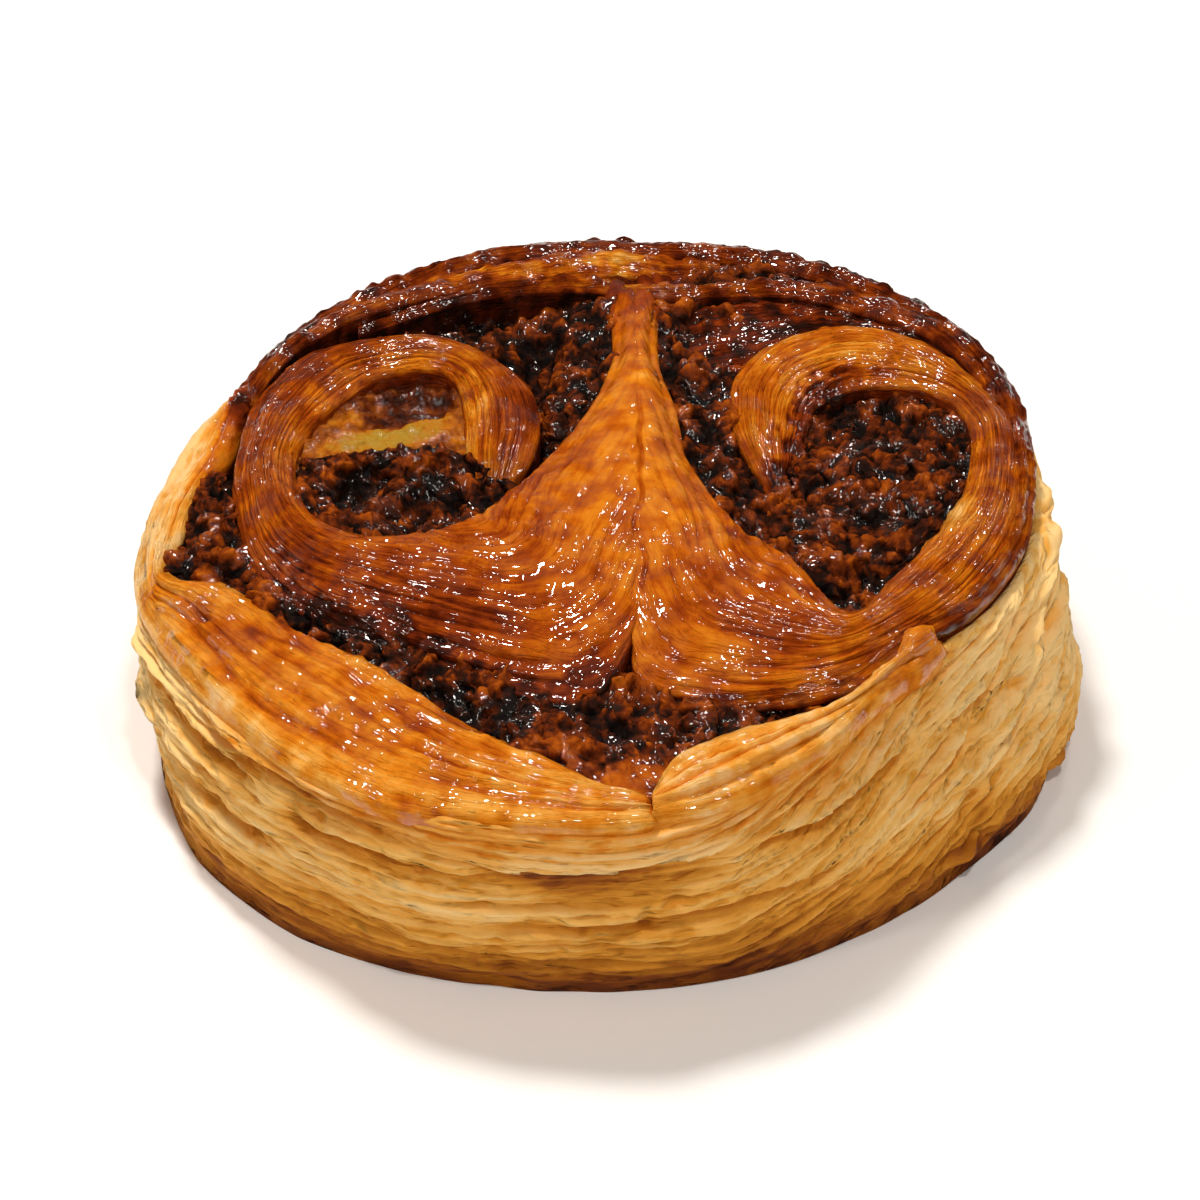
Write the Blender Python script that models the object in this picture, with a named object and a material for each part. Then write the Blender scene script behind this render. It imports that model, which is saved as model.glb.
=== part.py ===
"""A round cinnamon roll of laminated dough, baked in a ring.

One strip of dough makes the whole roll: a flaky outer wrap, and inside it two scrolls that part at a
centre seam and curl round to the left and to the right. Cinnamon filling lies between the turns. It
shows in the clefts on top and runs down through the roll as thin seams, as it does in any rolled dough.

Metres, +Z up, origin at the middle of the base, the front of the roll towards -Y.
Plan positions below are in millimetres and are scaled by MM when a mesh is made.
"""

import math

import bmesh
import bpy
from mathutils import Vector

MM = 0.001

# Driving heights, in millimetres.
SCROLL_FOOT = 9.0  # how low the scrolls reach into the drum that carries them
FILLING_FOOT = 0.0  # the filling comes out level with the base
SEAM_HALF_WIDTH = 1.4  # half the filling's thickness at the base
CLEARANCE = 0.4  # gap between the filling and the dough
SLOT_BEYOND = 6.0  # how far a slot's cutter passes the filling's foot
FLOOR_HEIGHT = 25.0  # the drum's top inside the rim
BASE_ROUNDING = 2.2  # radius of the edge between the base and the wall

# The top of a scroll, across it: (share of the width, rise as a share of the crown, or drop in mm).
SCROLL_ARCH = ((0.0, -1.6), (0.1, 0.1), (0.3, 0.84), (0.5, 1.0), (0.7, 0.84), (0.9, 0.1), (1.0, -1.6))

# Mesh steps.
WRAP_SECTIONS = 96
SCROLL_STEPS = 50
FILLING_STEPS = 26

# The wrap's rim and wall: (angle in degrees, radius, height). 0 is +X and 270 is the front.
RIM_OUTER = [
    (0, 51.6, 29.2), (20, 53.6, 31.0), (40, 54.8, 31.0), (65, 55.0, 31.0), (90, 53.8, 31.0),
    (115, 52.9, 31.0), (135, 51.6, 30.0), (150, 54.0, 26.0), (168, 55.0, 25.0), (185, 56.4, 24.5),
    (200, 55.2, 25.0), (220, 55.0, 27.0), (240, 56.4, 29.0), (258, 55.8, 29.0), (278, 53.6, 29.0),
    (292, 51.2, 29.5), (308, 47.4, 30.0), (325, 47.4, 29.5), (342, 49.6, 28.6),
]
RIM_INNER = [
    (0, 45.0, 27.0), (21, 50.6, 31.5), (38, 50.2, 32.0), (56, 46.4, 32.3), (69, 42.7, 32.0),
    (79, 41.0, 31.5), (88, 42.5, 31.0), (106, 44.4, 32.0), (124, 45.6, 32.3), (140, 48.6, 31.8),
    (153, 49.6, 28.5), (170, 50.5, 25.5), (188, 52.0, 25.5), (199, 45.2, 27.5), (214, 40.8, 28.5),
    (230, 38.6, 28.8), (243, 40.4, 28.8), (262, 43.8, 28.4), (274, 48.0, 27.6), (280, 43.4, 28.6),
    (294, 41.4, 29.2), (304, 44.2, 29.0), (318, 43.5, 28.5), (340, 42.0, 27.0),
]
WALL_BULGE = [
    (0, 56.3, 9.0), (30, 55.6, 12.0), (60, 55.6, 12.0), (90, 54.6, 12.0), (120, 54.2, 12.0),
    (150, 55.6, 12.0), (185, 56.2, 12.0), (212, 56.6, 11.0), (240, 55.8, 12.0), (268, 54.6, 13.0),
    (300, 53.6, 12.0), (325, 54.6, 9.0), (345, 56.6, 8.0),
]
FOOT = [
    (0, 54.0), (45, 54.0), (90, 53.0), (135, 53.0), (180, 54.4), (215, 55.6), (242, 54.0),
    (270, 52.2), (305, 51.6), (335, 53.4),
]

# Each scroll is a strip of dough between an inner edge (beside the filling) and an outer edge.
# A station crosses the strip: (inner x, y), (outer x, y), inner height, outer height, crown.
LEFT_SCROLL = [
    ((-0.4, 43.0), (3.2, 43.0), 29.0, 29.0, 0.4),
    ((-0.6, 33.0), (3.3, 34.0), 32.0, 32.4, 0.8),
    ((-3.0, 16.5), (3.5, 12.0), 32.6, 34.0, 0.8),
    ((-9.0, 3.2), (3.2, -12.0), 32.6, 34.6, 0.9),
    ((-14.8, -4.4), (2.4, -26.0), 32.4, 33.0, 1.8),
    ((-18.6, -7.0), (-3.0, -33.2), 32.2, 29.0, 2.6),
    ((-25.6, -9.0), (-21.0, -25.0), 32.0, 28.6, 2.6),
    ((-33.4, -5.8), (-35.8, -16.2), 31.4, 28.8, 2.0),
    ((-37.6, 3.4), (-44.4, -1.6), 31.0, 30.0, 1.4),
    ((-35.8, 13.0), (-44.2, 14.0), 31.0, 30.6, 1.2),
    ((-29.8, 21.0), (-37.0, 27.0), 31.5, 31.4, 1.0),
    ((-23.2, 23.3), (-23.6, 31.1), 31.8, 32.0, 0.9),
    ((-18.9, 20.6), (-12.8, 24.4), 31.8, 32.0, 0.9),
    ((-17.6, 13.0), (-8.4, 13.0), 31.6, 31.8, 1.0),
    ((-17.2, 7.6), (-10.6, 4.6), 30.0, 30.0, 0.6),
]
RIGHT_SCROLL = [
    ((6.4, 42.0), (3.4, 43.0), 29.0, 29.0, 0.4),
    ((5.6, 31.0), (3.4, 33.0), 32.0, 32.4, 0.8),
    ((8.2, 11.4), (3.7, 6.0), 32.6, 34.2, 0.8),
    ((14.0, -5.8), (3.2, -17.0), 32.6, 34.4, 1.2),
    ((19.2, -12.0), (2.6, -28.0), 32.4, 32.0, 2.0),
    ((22.4, -16.6), (9.4, -34.8), 32.0, 29.0, 2.4),
    ((25.2, -20.6), (21.6, -34.6), 31.6, 29.2, 2.2),
    ((29.2, -21.2), (33.6, -27.6), 31.6, 30.4, 1.4),
    ((36.2, -11.8), (43.4, -18.6), 32.0, 31.2, 1.4),
    ((42.4, 1.6), (49.6, -1.4), 32.0, 31.5, 1.2),
    ((43.2, 12.4), (49.6, 15.4), 32.0, 31.8, 1.2),
    ((36.8, 19.4), (40.4, 27.8), 32.0, 32.4, 1.4),
    ((28.4, 19.2), (26.0, 30.4), 31.6, 32.4, 1.6),
    ((24.2, 12.8), (15.6, 20.6), 30.8, 31.0, 1.4),
    ((21.8, 5.0), (20.0, 5.8), 29.0, 29.0, 0.4),
]
# The pale end of the strip, curled up in the middle of the left scroll.
LEFT_CORE = [
    ((-37.4, 8.4), (-35.6, 13.0), 27.0, 28.0, 0.2),
    ((-30.0, 7.6), (-30.6, 20.6), 28.6, 28.6, 0.6),
    ((-24.0, 7.6), (-23.6, 23.2), 28.8, 28.4, 0.6),
    ((-18.4, 7.6), (-18.2, 19.0), 28.4, 28.6, 0.4),
]

# Fillings: stations across each seam as it shows on top, (one side), (other side), height of the top.
FILLINGS = {
    "filling_front": [
        ((-45.4, 18.0), (-47.0, 18.6), 25.5), ((-45.6, 6.0), (-48.2, 6.6), 25.5),
        ((-44.9, -1.4), (-51.0, 0.6), 26.5), ((-43.0, -6.6), (-51.8, -8.6), 26.8),
        ((-38.6, -13.0), (-42.8, -15.6), 27.0), ((-33.0, -18.6), (-36.6, -21.8), 27.0),
        ((-24.4, -23.8), (-27.6, -28.0), 27.0), ((-14.0, -29.6), (-18.4, -35.8), 27.0),
        ((-5.0, -33.4), (-8.6, -40.6), 26.8), ((2.4, -31.6), (0.8, -42.6), 26.4),
        ((8.4, -35.0), (7.4, -41.0), 26.8), ((14.0, -35.2), (14.2, -38.4), 27.4),
        ((19.6, -35.4), (19.6, -36.6), 28.0),
    ],
    "filling_left_cleft": [
        ((-26.0, 32.4), (-25.4, 34.2), 29.0), ((-20.0, 31.0), (-19.0, 37.6), 28.0),
        ((-14.4, 27.2), (-10.0, 39.6), 27.0), ((-11.2, 23.0), (-1.4, 37.8), 27.6),
        ((-9.2, 17.6), (-1.8, 27.0), 28.2), ((-8.3, 12.0), (-3.6, 15.8), 28.4),
        ((-9.2, 6.4), (-7.0, 6.6), 28.6),
    ],
    "filling_left_eye": [
        ((-10.6, 2.0), (-12.0, 4.2), 28.0), ((-14.4, -3.6), (-16.0, 7.2), 28.0),
        ((-20.0, -7.0), (-20.4, 8.0), 27.6), ((-26.6, -8.4), (-26.0, 8.0), 27.4),
        ((-32.6, -5.8), (-31.0, 7.8), 28.0), ((-36.4, 0.0), (-34.6, 7.8), 28.4),
        ((-37.0, 6.4), (-36.0, 8.0), 28.4),
    ],
    "filling_right": [
        ((7.0, 38.6), (16.6, 38.8), 29.4), ((6.6, 29.0), (17.2, 30.0), 29.0),
        ((8.0, 17.6), (14.6, 20.0), 28.6), ((10.2, 7.0), (17.0, 10.6), 28.4),
        ((13.0, -1.6), (18.8, 4.6), 28.4), ((14.6, -4.8), (22.8, 4.0), 28.4),
        ((16.6, -8.0), (26.0, 13.0), 28.6), ((19.2, -11.0), (32.0, 18.8), 29.0),
        ((21.4, -14.0), (41.4, 15.8), 29.0), ((23.4, -17.0), (41.8, 1.2), 28.6),
        ((25.4, -19.6), (36.0, -10.8), 28.0), ((27.0, -21.4), (29.6, -20.2), 27.6),
    ],
    "filling_back": [
        ((5.0, 43.6), (5.2, 44.8), 29.0), ((10.4, 42.0), (10.4, 46.8), 28.8),
        ((16.4, 42.4), (17.0, 48.0), 28.8), ((22.0, 42.6), (23.2, 46.4), 29.0),
        ((26.2, 42.0), (26.8, 43.4), 29.4),
    ],
}

DOUGH_COLOR = (0.72, 0.40, 0.13, 1.0)
FILLING_COLOR = (0.06, 0.02, 0.008, 1.0)


def hermite(before, start, end, after, t):
    """Catmull-Rom interpolation between start and end."""
    t2, t3 = t * t, t * t * t
    return 0.5 * (
        2 * start
        + (end - before) * t
        + (2 * before - 5 * start + 4 * end - after) * t2
        + (3 * start - before - 3 * end + after) * t3
    )


def along(knots, share):
    """The point at this share of an open list of knots, each a tuple of numbers."""
    place = share * (len(knots) - 1)
    i = min(int(place), len(knots) - 2)
    ring = [knots[max(i - 1, 0)], knots[i], knots[i + 1], knots[min(i + 2, len(knots) - 1)]]
    return [hermite(*values, place - i) for values in zip(*ring)]


def around(knots, degrees):
    """The values at an angle of a closed list of knots, each (angle, value, ...)."""
    degrees %= 360
    count = len(knots)
    i = max(k for k in range(count) if knots[k][0] <= degrees)
    ring = [knots[(i + k) % count] for k in (-1, 0, 1, 2)]
    gap = (ring[2][0] - ring[1][0]) % 360
    t = (degrees - ring[1][0]) / gap
    t = t * t * (3 - 2 * t) * 0.5 + t * 0.5
    return [a + (b - a) * t for a, b in zip(ring[1][1:], ring[2][1:])]


def at_angle(degrees, radius, height):
    angle = math.radians(degrees)
    return Vector((radius * math.cos(angle), radius * math.sin(angle), height))


def mesh_object(name, points, faces, collection):
    """An object made from points in millimetres, with its faces turned outwards."""
    mesh = bpy.data.meshes.new(name)
    mesh.from_pydata([p * MM for p in points], [], faces)
    shape = bmesh.new()
    shape.from_mesh(mesh)
    bmesh.ops.recalc_face_normals(shape, faces=shape.faces)
    bmesh.ops.triangulate(shape, faces=shape.faces)
    shape.to_mesh(mesh)
    shape.free()
    made = bpy.data.objects.new(name, mesh)
    collection.objects.link(made)
    return made


def loft(name, sections, collection):
    """A closed solid through sections, each a closed outline with as many points as the others."""
    size = len(sections[0])
    points = [p for section in sections for p in section]
    faces = [list(range(size)), [len(points) - size + k for k in range(size)]]
    for i in range(len(sections) - 1):
        for k in range(size):
            a, b = i * size + k, i * size + (k + 1) % size
            faces.append([a, b, b + size, a + size])
    return mesh_object(name, points, faces, collection)


def turned_loft(name, sections, collection):
    """A closed solid through sections that all start and end on the vertical axis."""
    inner = len(sections[0]) - 2
    points = [p for section in sections for p in section[1:-1]]
    top, bottom = len(points), len(points) + 1
    points += [sections[0][0], sections[0][-1]]
    faces = []
    for i in range(len(sections)):
        here, there = i * inner, (i + 1) % len(sections) * inner
        faces.append([top, here, there])
        faces.append([bottom, there + inner - 1, here + inner - 1])
        for k in range(inner - 1):
            faces.append([here + k, here + k + 1, there + k + 1, there + k])
    return mesh_object(name, points, faces, collection)


def wrap_section(degrees):
    """The wrap cut along one radius: floor, rim, wall and base, from the axis out and back in."""
    inner_radius, inner_height = around(RIM_INNER, degrees)
    outer_radius, outer_height = around(RIM_OUTER, degrees)
    bulge_radius, bulge_height = around(WALL_BULGE, degrees)
    foot_radius = around(FOOT, degrees)[0]
    rim_crown = 0.6 + 0.05 * (outer_radius - inner_radius)
    floor_radius = inner_radius - 2.5
    profile = [
        (0.0, FLOOR_HEIGHT),
        (floor_radius * 0.5, FLOOR_HEIGHT),
        (floor_radius, FLOOR_HEIGHT),
        (inner_radius - 0.6, inner_height - 1.2),
        (inner_radius + 0.8, inner_height + 0.2),
        (0.5 * (inner_radius + outer_radius), 0.5 * (inner_height + outer_height) + rim_crown),
        (outer_radius - 0.8, outer_height + 0.2),
        (outer_radius, outer_height - 1.0),
        (0.5 * (outer_radius + bulge_radius) + 0.3, 0.5 * (outer_height + bulge_height)),
        (bulge_radius, bulge_height),
        (0.5 * (foot_radius + bulge_radius), 0.5 * (bulge_height + BASE_ROUNDING)),
        (foot_radius, BASE_ROUNDING),
        (foot_radius - 0.7 * BASE_ROUNDING, 0.0),
        (foot_radius * 0.6, 0.0),
        (0.0, 0.0),
    ]
    return [at_angle(degrees, radius, height) for radius, height in profile]


def make_wrap(collection):
    step = 360 / WRAP_SECTIONS
    sections = [wrap_section(step * i) for i in range(WRAP_SECTIONS)]
    return turned_loft("dough", sections, collection)


def scroll_section(station):
    """One cut across a scroll: a crowned top with rolled edges, on straight sides."""
    ix, iy, ox, oy, inner_height, outer_height, crown = station
    outline = [(0.0, SCROLL_FOOT), (0.0, 0.5 * (SCROLL_FOOT + inner_height))]
    for share, roll in SCROLL_ARCH:
        height = inner_height + (outer_height - inner_height) * share
        outline.append((share, height + (crown * roll if roll > 0 else roll)))
    outline += [(1.0, 0.5 * (SCROLL_FOOT + outer_height)), (1.0, SCROLL_FOOT)]
    return [Vector((ix + (ox - ix) * share, iy + (oy - iy) * share, height)) for share, height in outline]


def make_scroll(name, stations, collection, steps=SCROLL_STEPS):
    flat = [(*inner, *outer, *rest) for inner, outer, *rest in stations]
    sections = [scroll_section(along(flat, i / steps)) for i in range(steps + 1)]
    return loft(name, sections, collection)


def filling_section(station):
    """One cut down through a seam of filling, wide on top and thin from the middle down."""
    ax, ay, bx, by, height = station
    one, other = Vector((ax, ay, 0)), Vector((bx, by, 0))
    middle, half = (one + other) / 2, (other - one).length / 2
    across = (other - one).normalized()
    thin = min(half, SEAM_HALF_WIDTH)
    levels = (
        (FILLING_FOOT, thin),
        (0.45 * height, thin),
        (0.72 * height, 0.4 * thin + 0.6 * half),
        (height, half),
    )
    rails = []
    for side in (-1, 1):
        rails.append([middle + across * side * width + Vector((0, 0, z)) for z, width in levels])
    return rails[0] + rails[1][::-1]


def make_filling(name, stations, collection):
    knots = [(*one, *other, height) for one, other, height in stations]
    sections = [filling_section(along(knots, i / FILLING_STEPS)) for i in range(FILLING_STEPS + 1)]
    return loft(name, sections, collection), sections


def make_slot(name, sections, collection):
    """The filling's own sections, moved out by the clearance and carried past the top and the base."""
    wide = [widened(sections, i) for i in range(len(sections))]
    wide.insert(0, past_end(wide[0], wide[1]))
    wide.append(past_end(wide[-1], wide[-2]))
    half = len(wide[0]) // 2
    down, up = Vector((0, 0, -SLOT_BEYOND)), Vector((0, 0, 2 * SLOT_BEYOND))
    tall = [
        [s[0] + down, *s[:half], s[half - 1] + up, s[half] + up, *s[half:], s[-1] + down] for s in wide
    ]
    return loft(name, tall, collection)


def widened(sections, i):
    """Section i with each side moved out square to its own line along the seam."""
    before, here, after = sections[max(i - 1, 0)], sections[i], sections[min(i + 1, len(sections) - 1)]
    travel = after[0] + after[-1] - before[0] - before[-1]
    turn = travel.x * (here[0].y - here[-1].y) - travel.y * (here[0].x - here[-1].x)
    moved = []
    for k, point in enumerate(here):
        way = after[k] - before[k]
        out = Vector((-way.y, way.x, 0)).normalized() * math.copysign(CLEARANCE, turn)
        moved.append(point + (out if k < len(here) // 2 else -out))
    return moved


def past_end(end, neighbour):
    """The end section moved on along the seam by the clearance."""
    step = end[0] + end[-1] - neighbour[0] - neighbour[-1]
    step = Vector((step.x, step.y, 0)).normalized() * CLEARANCE
    return [point + step for point in end]


def combine(target, helpers, operation):
    """Joins or cuts target with all the objects of a collection, which aren't shown."""
    modifier = target.modifiers.new(helpers.name, "BOOLEAN")
    modifier.operand_type = "COLLECTION"
    modifier.collection = helpers
    modifier.operation = operation
    modifier.solver = "EXACT"
    for helper in helpers.objects:
        helper.hide_render = True
        helper.display_type = "WIRE"


def make_material(name, color, roughness):
    material = bpy.data.materials.new(name)
    material.use_nodes = True
    shader = material.node_tree.nodes["Principled BSDF"]
    shader.inputs["Base Color"].default_value = color
    shader.inputs["Roughness"].default_value = roughness
    shader.inputs["Metallic"].default_value = 0.0
    return material


def main():
    for old in list(bpy.data.objects):
        bpy.data.objects.remove(old, do_unlink=True)
    roll, scrolls, slots = (
        bpy.data.collections.new(name) for name in ("cinnamon_roll", "scrolls", "slots")
    )
    for collection in (roll, scrolls, slots):
        bpy.context.scene.collection.children.link(collection)

    dough = make_wrap(roll)
    dough.data.materials.append(make_material("dough", DOUGH_COLOR, 0.45))
    make_scroll("scroll_left", LEFT_SCROLL, scrolls)
    make_scroll("scroll_right", RIGHT_SCROLL, scrolls)
    make_scroll("core_left", LEFT_CORE, scrolls, steps=18)
    combine(dough, scrolls, "UNION")

    filling_look = make_material("filling", FILLING_COLOR, 0.3)
    for name, stations in FILLINGS.items():
        filling, sections = make_filling(name, stations, roll)
        filling.data.materials.append(filling_look)
        make_slot(f"slot_{name}", sections, slots)
    combine(dough, slots, "DIFFERENCE")


main()
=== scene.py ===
"""Looks of the cinnamon roll: a flaky baked wrap, glazed scrolls and ridges, and crumbly dark filling.

Lengths are in millimetres in the frame's own axes, origin at the middle of the base, unless a line says
otherwise. Each strip of dough or filling is a ribbon through given stations. Its relief is made in the
mesh by noise that follows the strip, and the materials read the same strip coordinates from "flow".
"""

import itertools
import math

import bpy
import numpy as np
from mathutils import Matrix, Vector


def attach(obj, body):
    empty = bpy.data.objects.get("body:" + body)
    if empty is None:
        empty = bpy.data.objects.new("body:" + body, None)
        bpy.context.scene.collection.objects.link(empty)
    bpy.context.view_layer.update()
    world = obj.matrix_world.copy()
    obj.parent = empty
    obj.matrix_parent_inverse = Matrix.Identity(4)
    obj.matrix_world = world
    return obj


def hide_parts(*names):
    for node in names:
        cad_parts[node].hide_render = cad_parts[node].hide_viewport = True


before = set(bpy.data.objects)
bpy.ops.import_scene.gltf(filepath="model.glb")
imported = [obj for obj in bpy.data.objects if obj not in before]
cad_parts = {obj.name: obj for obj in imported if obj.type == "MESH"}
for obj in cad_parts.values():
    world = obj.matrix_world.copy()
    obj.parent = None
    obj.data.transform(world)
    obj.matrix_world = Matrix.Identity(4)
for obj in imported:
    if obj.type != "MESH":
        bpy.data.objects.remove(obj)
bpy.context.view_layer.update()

MM = 0.001

# ---- stations
# A ribbon's station: inner x, inner y, outer x, outer y, inner height, outer height, crown.

SCROLL_LEFT = [
    (-5, 45.4, 3.2, 46.4, 30.4, 30.4, 0.3), (-0.8, 40, 3.5, 40.6, 31.6, 31.8, 0.4),
    (0.2, 33, 4.2, 33.6, 32, 32.6, 0.5), (0, 24, 4.6, 24.7, 32.4, 33.5, 0.6),
    (-2.6, 15, 4.8, 13.5, 32.5, 34.2, 0.6), (-7, 6.4, 4.8, 3, 32.2, 34.7, 0.8),
    (-11.6, -0.3, 4.4, -8, 32.2, 34.8, 1), (-14.6, -4.4, 3.6, -18, 32.2, 34.2, 1.4),
    (-17.6, -6.6, 2.6, -28, 32.2, 32.8, 1.9), (-21.4, -8.2, -3.4, -35, 32.1, 29.2, 2.6),
    (-25.5, -9.1, -15.8, -31, 32, 28.8, 2.8), (-30.4, -8, -28, -24.4, 31.6, 28.6, 2.6),
    (-33.6, -5.7, -36.2, -18.4, 31.2, 28.4, 2.2), (-36.2, -1.6, -42, -10.8, 31, 29.2, 1.7),
    (-37.6, 4.4, -45, 1.9, 31, 30.2, 1.3), (-37, 10, -44.8, 10, 31, 30.8, 1.2),
    (-34, 15.6, -43.4, 18.6, 31.4, 31, 1.1), (-29.6, 21.2, -37.9, 26.8, 31.6, 31.6, 1),
    (-25, 23.2, -29.4, 30.4, 31.8, 31.9, 0.9), (-21.4, 23, -21.6, 30.6, 31.9, 32, 0.9),
    (-19, 21, -15, 26.6, 31.9, 32, 0.9), (-18, 16.6, -9.9, 20, 31.9, 32, 1),
    (-17.6, 11.6, -8.4, 12, 31.6, 31.8, 1.1), (-17.3, 7.8, -9.4, 6.2, 30.6, 31, 1),
    (-16.4, 4.6, -11.4, 3.6, 28.6, 28.8, 0.5),
]
SCROLL_RIGHT = [
    (11, 45.4, 3.1, 46.4, 30.2, 30.4, 0.3), (7.4, 39.4, 2.7, 40.6, 31.2, 31.8, 0.4),
    (6.2, 32.6, 2.4, 33.6, 31.9, 32.6, 0.5), (6.3, 23.2, 2.4, 24.7, 32.4, 33.5, 0.5),
    (8, 15, 2.4, 14, 32.5, 34.2, 0.6), (9.4, 5, 2.3, 3, 32.4, 34.7, 0.7),
    (12.4, -3, 2.3, -7, 32.4, 34.8, 0.9), (15.6, -8.2, 2.4, -16, 32.4, 34.4, 1.2),
    (18.8, -11.2, 2.4, -24.6, 32.2, 33.4, 1.7), (21.4, -14, 3, -32.4, 32, 30.2, 2.3),
    (23.4, -17.2, 9.4, -34.2, 31.6, 29.2, 2.5), (25.2, -20.2, 17.6, -34, 31.3, 29.2, 2.2),
    (27.4, -22, 25, -32, 31.2, 29.8, 1.6), (30.2, -19.8, 32.8, -27.4, 31.6, 30.4, 1.2),
    (34.2, -14, 40.6, -21.8, 32, 30.6, 1.3), (38.6, -7.6, 46.2, -13.6, 32, 30.8, 1.4),
    (41.4, -1.6, 49.2, -5.2, 32.1, 31, 1.4), (43, 5, 50.2, 4, 32.2, 31.2, 1.4),
    (43.4, 11, 49.8, 12.6, 32.2, 31.4, 1.3), (41.8, 15.8, 46.8, 18.6, 32.2, 32, 1.1),
    (38.6, 18.8, 42.6, 24.2, 32.2, 32.6, 1), (34.6, 19.6, 37.6, 29, 32.1, 32.7, 1.2),
    (29.4, 19.2, 30, 31.4, 32, 32.8, 1.4), (25.6, 17, 21, 29, 31.4, 32.4, 1.5),
    (24.4, 13.8, 15.4, 23, 30.8, 31.4, 1.5), (23.8, 11, 14.6, 15.6, 30.2, 30.4, 1.3),
    (23, 7.8, 15.8, 10.4, 29.4, 29.6, 1), (22.2, 4.2, 18, 5, 28.6, 28.6, 0.5),
    (21.2, 1.8, 19.6, 1.8, 27.6, 27.6, 0.2),
]
LIP = [
    (8, -33.4, 8, -35.6, 28.6, 28.2, 0.3), (17.6, -33.2, 18.6, -35.6, 29.2, 28.8, 0.4),
    (26, -31.2, 27.4, -33.4, 30, 29.6, 0.5), (33.2, -25, 34.8, -27, 31, 30.6, 0.5),
    (40.2, -19.4, 42.2, -20.8, 31.4, 31, 0.5), (45.4, -10.8, 47.8, -11.6, 31.7, 31.2, 0.6),
    (47.6, -2.4, 50.1, -2.6, 31.8, 31.3, 0.6), (48, 6.6, 51, 7, 31.9, 31.3, 0.6),
    (47.4, 15.6, 50.5, 17.2, 31.9, 31.3, 0.6), (45.2, 23.6, 48.2, 25.8, 31.6, 31.2, 0.7),
    (40.4, 32.2, 43.8, 34.2, 31.4, 31, 0.7), (34, 38.6, 37.2, 41.2, 31.2, 30.8, 0.7),
    (26, 44.2, 28.4, 47.6, 31, 30.6, 0.7), (16, 48, 17.2, 52.4, 30.8, 30.3, 0.7),
    (5, 49, 5.4, 53.7, 30.7, 30.2, 0.7), (-6, 49, -6.4, 53.8, 30.7, 30.2, 0.7),
    (-16.4, 46.6, -17.4, 51.2, 30.8, 30.3, 0.7), (-26.4, 40.8, -28.6, 44.6, 31, 30.4, 0.7),
    (-34.2, 34.4, -36.6, 37.8, 30.8, 30.2, 0.6), (-40, 28, -42.8, 30.6, 30.2, 29.4, 0.5),
    (-43.4, 21.6, -46.6, 22.8, 29.6, 28.4, 0.4), (-45.6, 15, -47.6, 15.4, 28, 27.2, 0.2),
]
RIDGE_BACK_LEFT = [
    (-43.6, 18.4, -45, 19, 29.6, 29.2, 0.2), (-42.4, 21.6, -44.8, 22.8, 30.8, 30, 0.3),
    (-39.4, 26.6, -42.2, 28.6, 31.6, 30.6, 0.4), (-33, 33, -35.4, 36, 32.2, 31, 0.5),
    (-25.8, 36.8, -27.8, 41.2, 32.4, 31, 0.5), (-17, 39.8, -18.6, 46, 32.6, 30.8, 0.6),
    (-8, 42.4, -9, 49.6, 32.2, 30.6, 0.8), (0, 43.6, 0, 50.4, 31.8, 30.6, 1),
    (8, 44, 8.4, 50.2, 30.6, 30.2, 0.8), (14, 46.6, 14.6, 50, 29.8, 29.6, 0.4),
]
RIDGE_CLEFT = [
    (-31.4, 32.2, -31.8, 34.4, 30.6, 30.6, 0.2), (-23, 35.4, -23.8, 37.8, 31.8, 31.4, 0.4),
    (-15.4, 38.2, -16.2, 40.8, 32.3, 31.8, 0.5), (-8, 39.2, -8.6, 42.6, 32.4, 31.8, 0.6),
    (-3, 39.6, -3.6, 43.8, 32.2, 31.6, 0.6), (1, 40.6, 1, 44, 31.2, 31, 0.3),
    (3.4, 41.4, 3.6, 44, 29.4, 29.4, 0.1),
]
RIDGE_BACK_RIGHT = [
    (0.6, 40, 0.6, 43.6, 30.8, 30.8, 0.3), (6, 38.4, 6.4, 41.8, 31.9, 31.4, 0.5),
    (14.6, 38.4, 15.4, 42.2, 32.5, 31.8, 0.6), (23.6, 37.4, 24.8, 42.2, 32.9, 31.8, 0.7),
    (31, 34.2, 33.6, 39.4, 32.9, 31.8, 0.7), (38.4, 30, 41.2, 33.8, 32.7, 31.6, 0.6),
    (43.8, 23.4, 46.2, 25.4, 32.5, 31.6, 0.5), (46.4, 15.6, 48.2, 16.2, 32, 31.4, 0.3),
]
TURN_RIGHT = [
    (7, 28, 7, 37, 27.6, 28.4, 0), (12.6, 25.6, 11.6, 38.8, 29.4, 30.4, 0.2),
    (19.4, 25.8, 18.6, 38.8, 30.2, 31.2, 0.3), (24.4, 28.8, 25.4, 37.8, 30.8, 31.6, 0.3),
    (30, 30.4, 31.4, 35.2, 31.2, 31.6, 0.3), (35.6, 29.6, 36.8, 33, 31.2, 31.6, 0.3),
    (40.4, 25.8, 42, 29, 31.2, 31.4, 0.3), (44.4, 20, 45.8, 22.6, 31, 31.2, 0.3),
    (46, 12, 48, 12.4, 30.8, 31, 0.2),
]
CORE_LEFT = [
    (-38.6, 5.6, -38.4, 12, 29.2, 30.2, 0), (-35, 6.4, -34.6, 18.4, 29.6, 30.4, -0.2),
    (-30, 7.2, -29.4, 23.4, 29.8, 30.6, -0.2), (-24, 7.6, -23.8, 25.4, 29.8, 30.7, -0.2),
    (-19, 7.6, -18.4, 23, 29.8, 30.8, -0.2), (-15.2, 7.4, -15, 16, 29.6, 30.4, 0),
]
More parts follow.
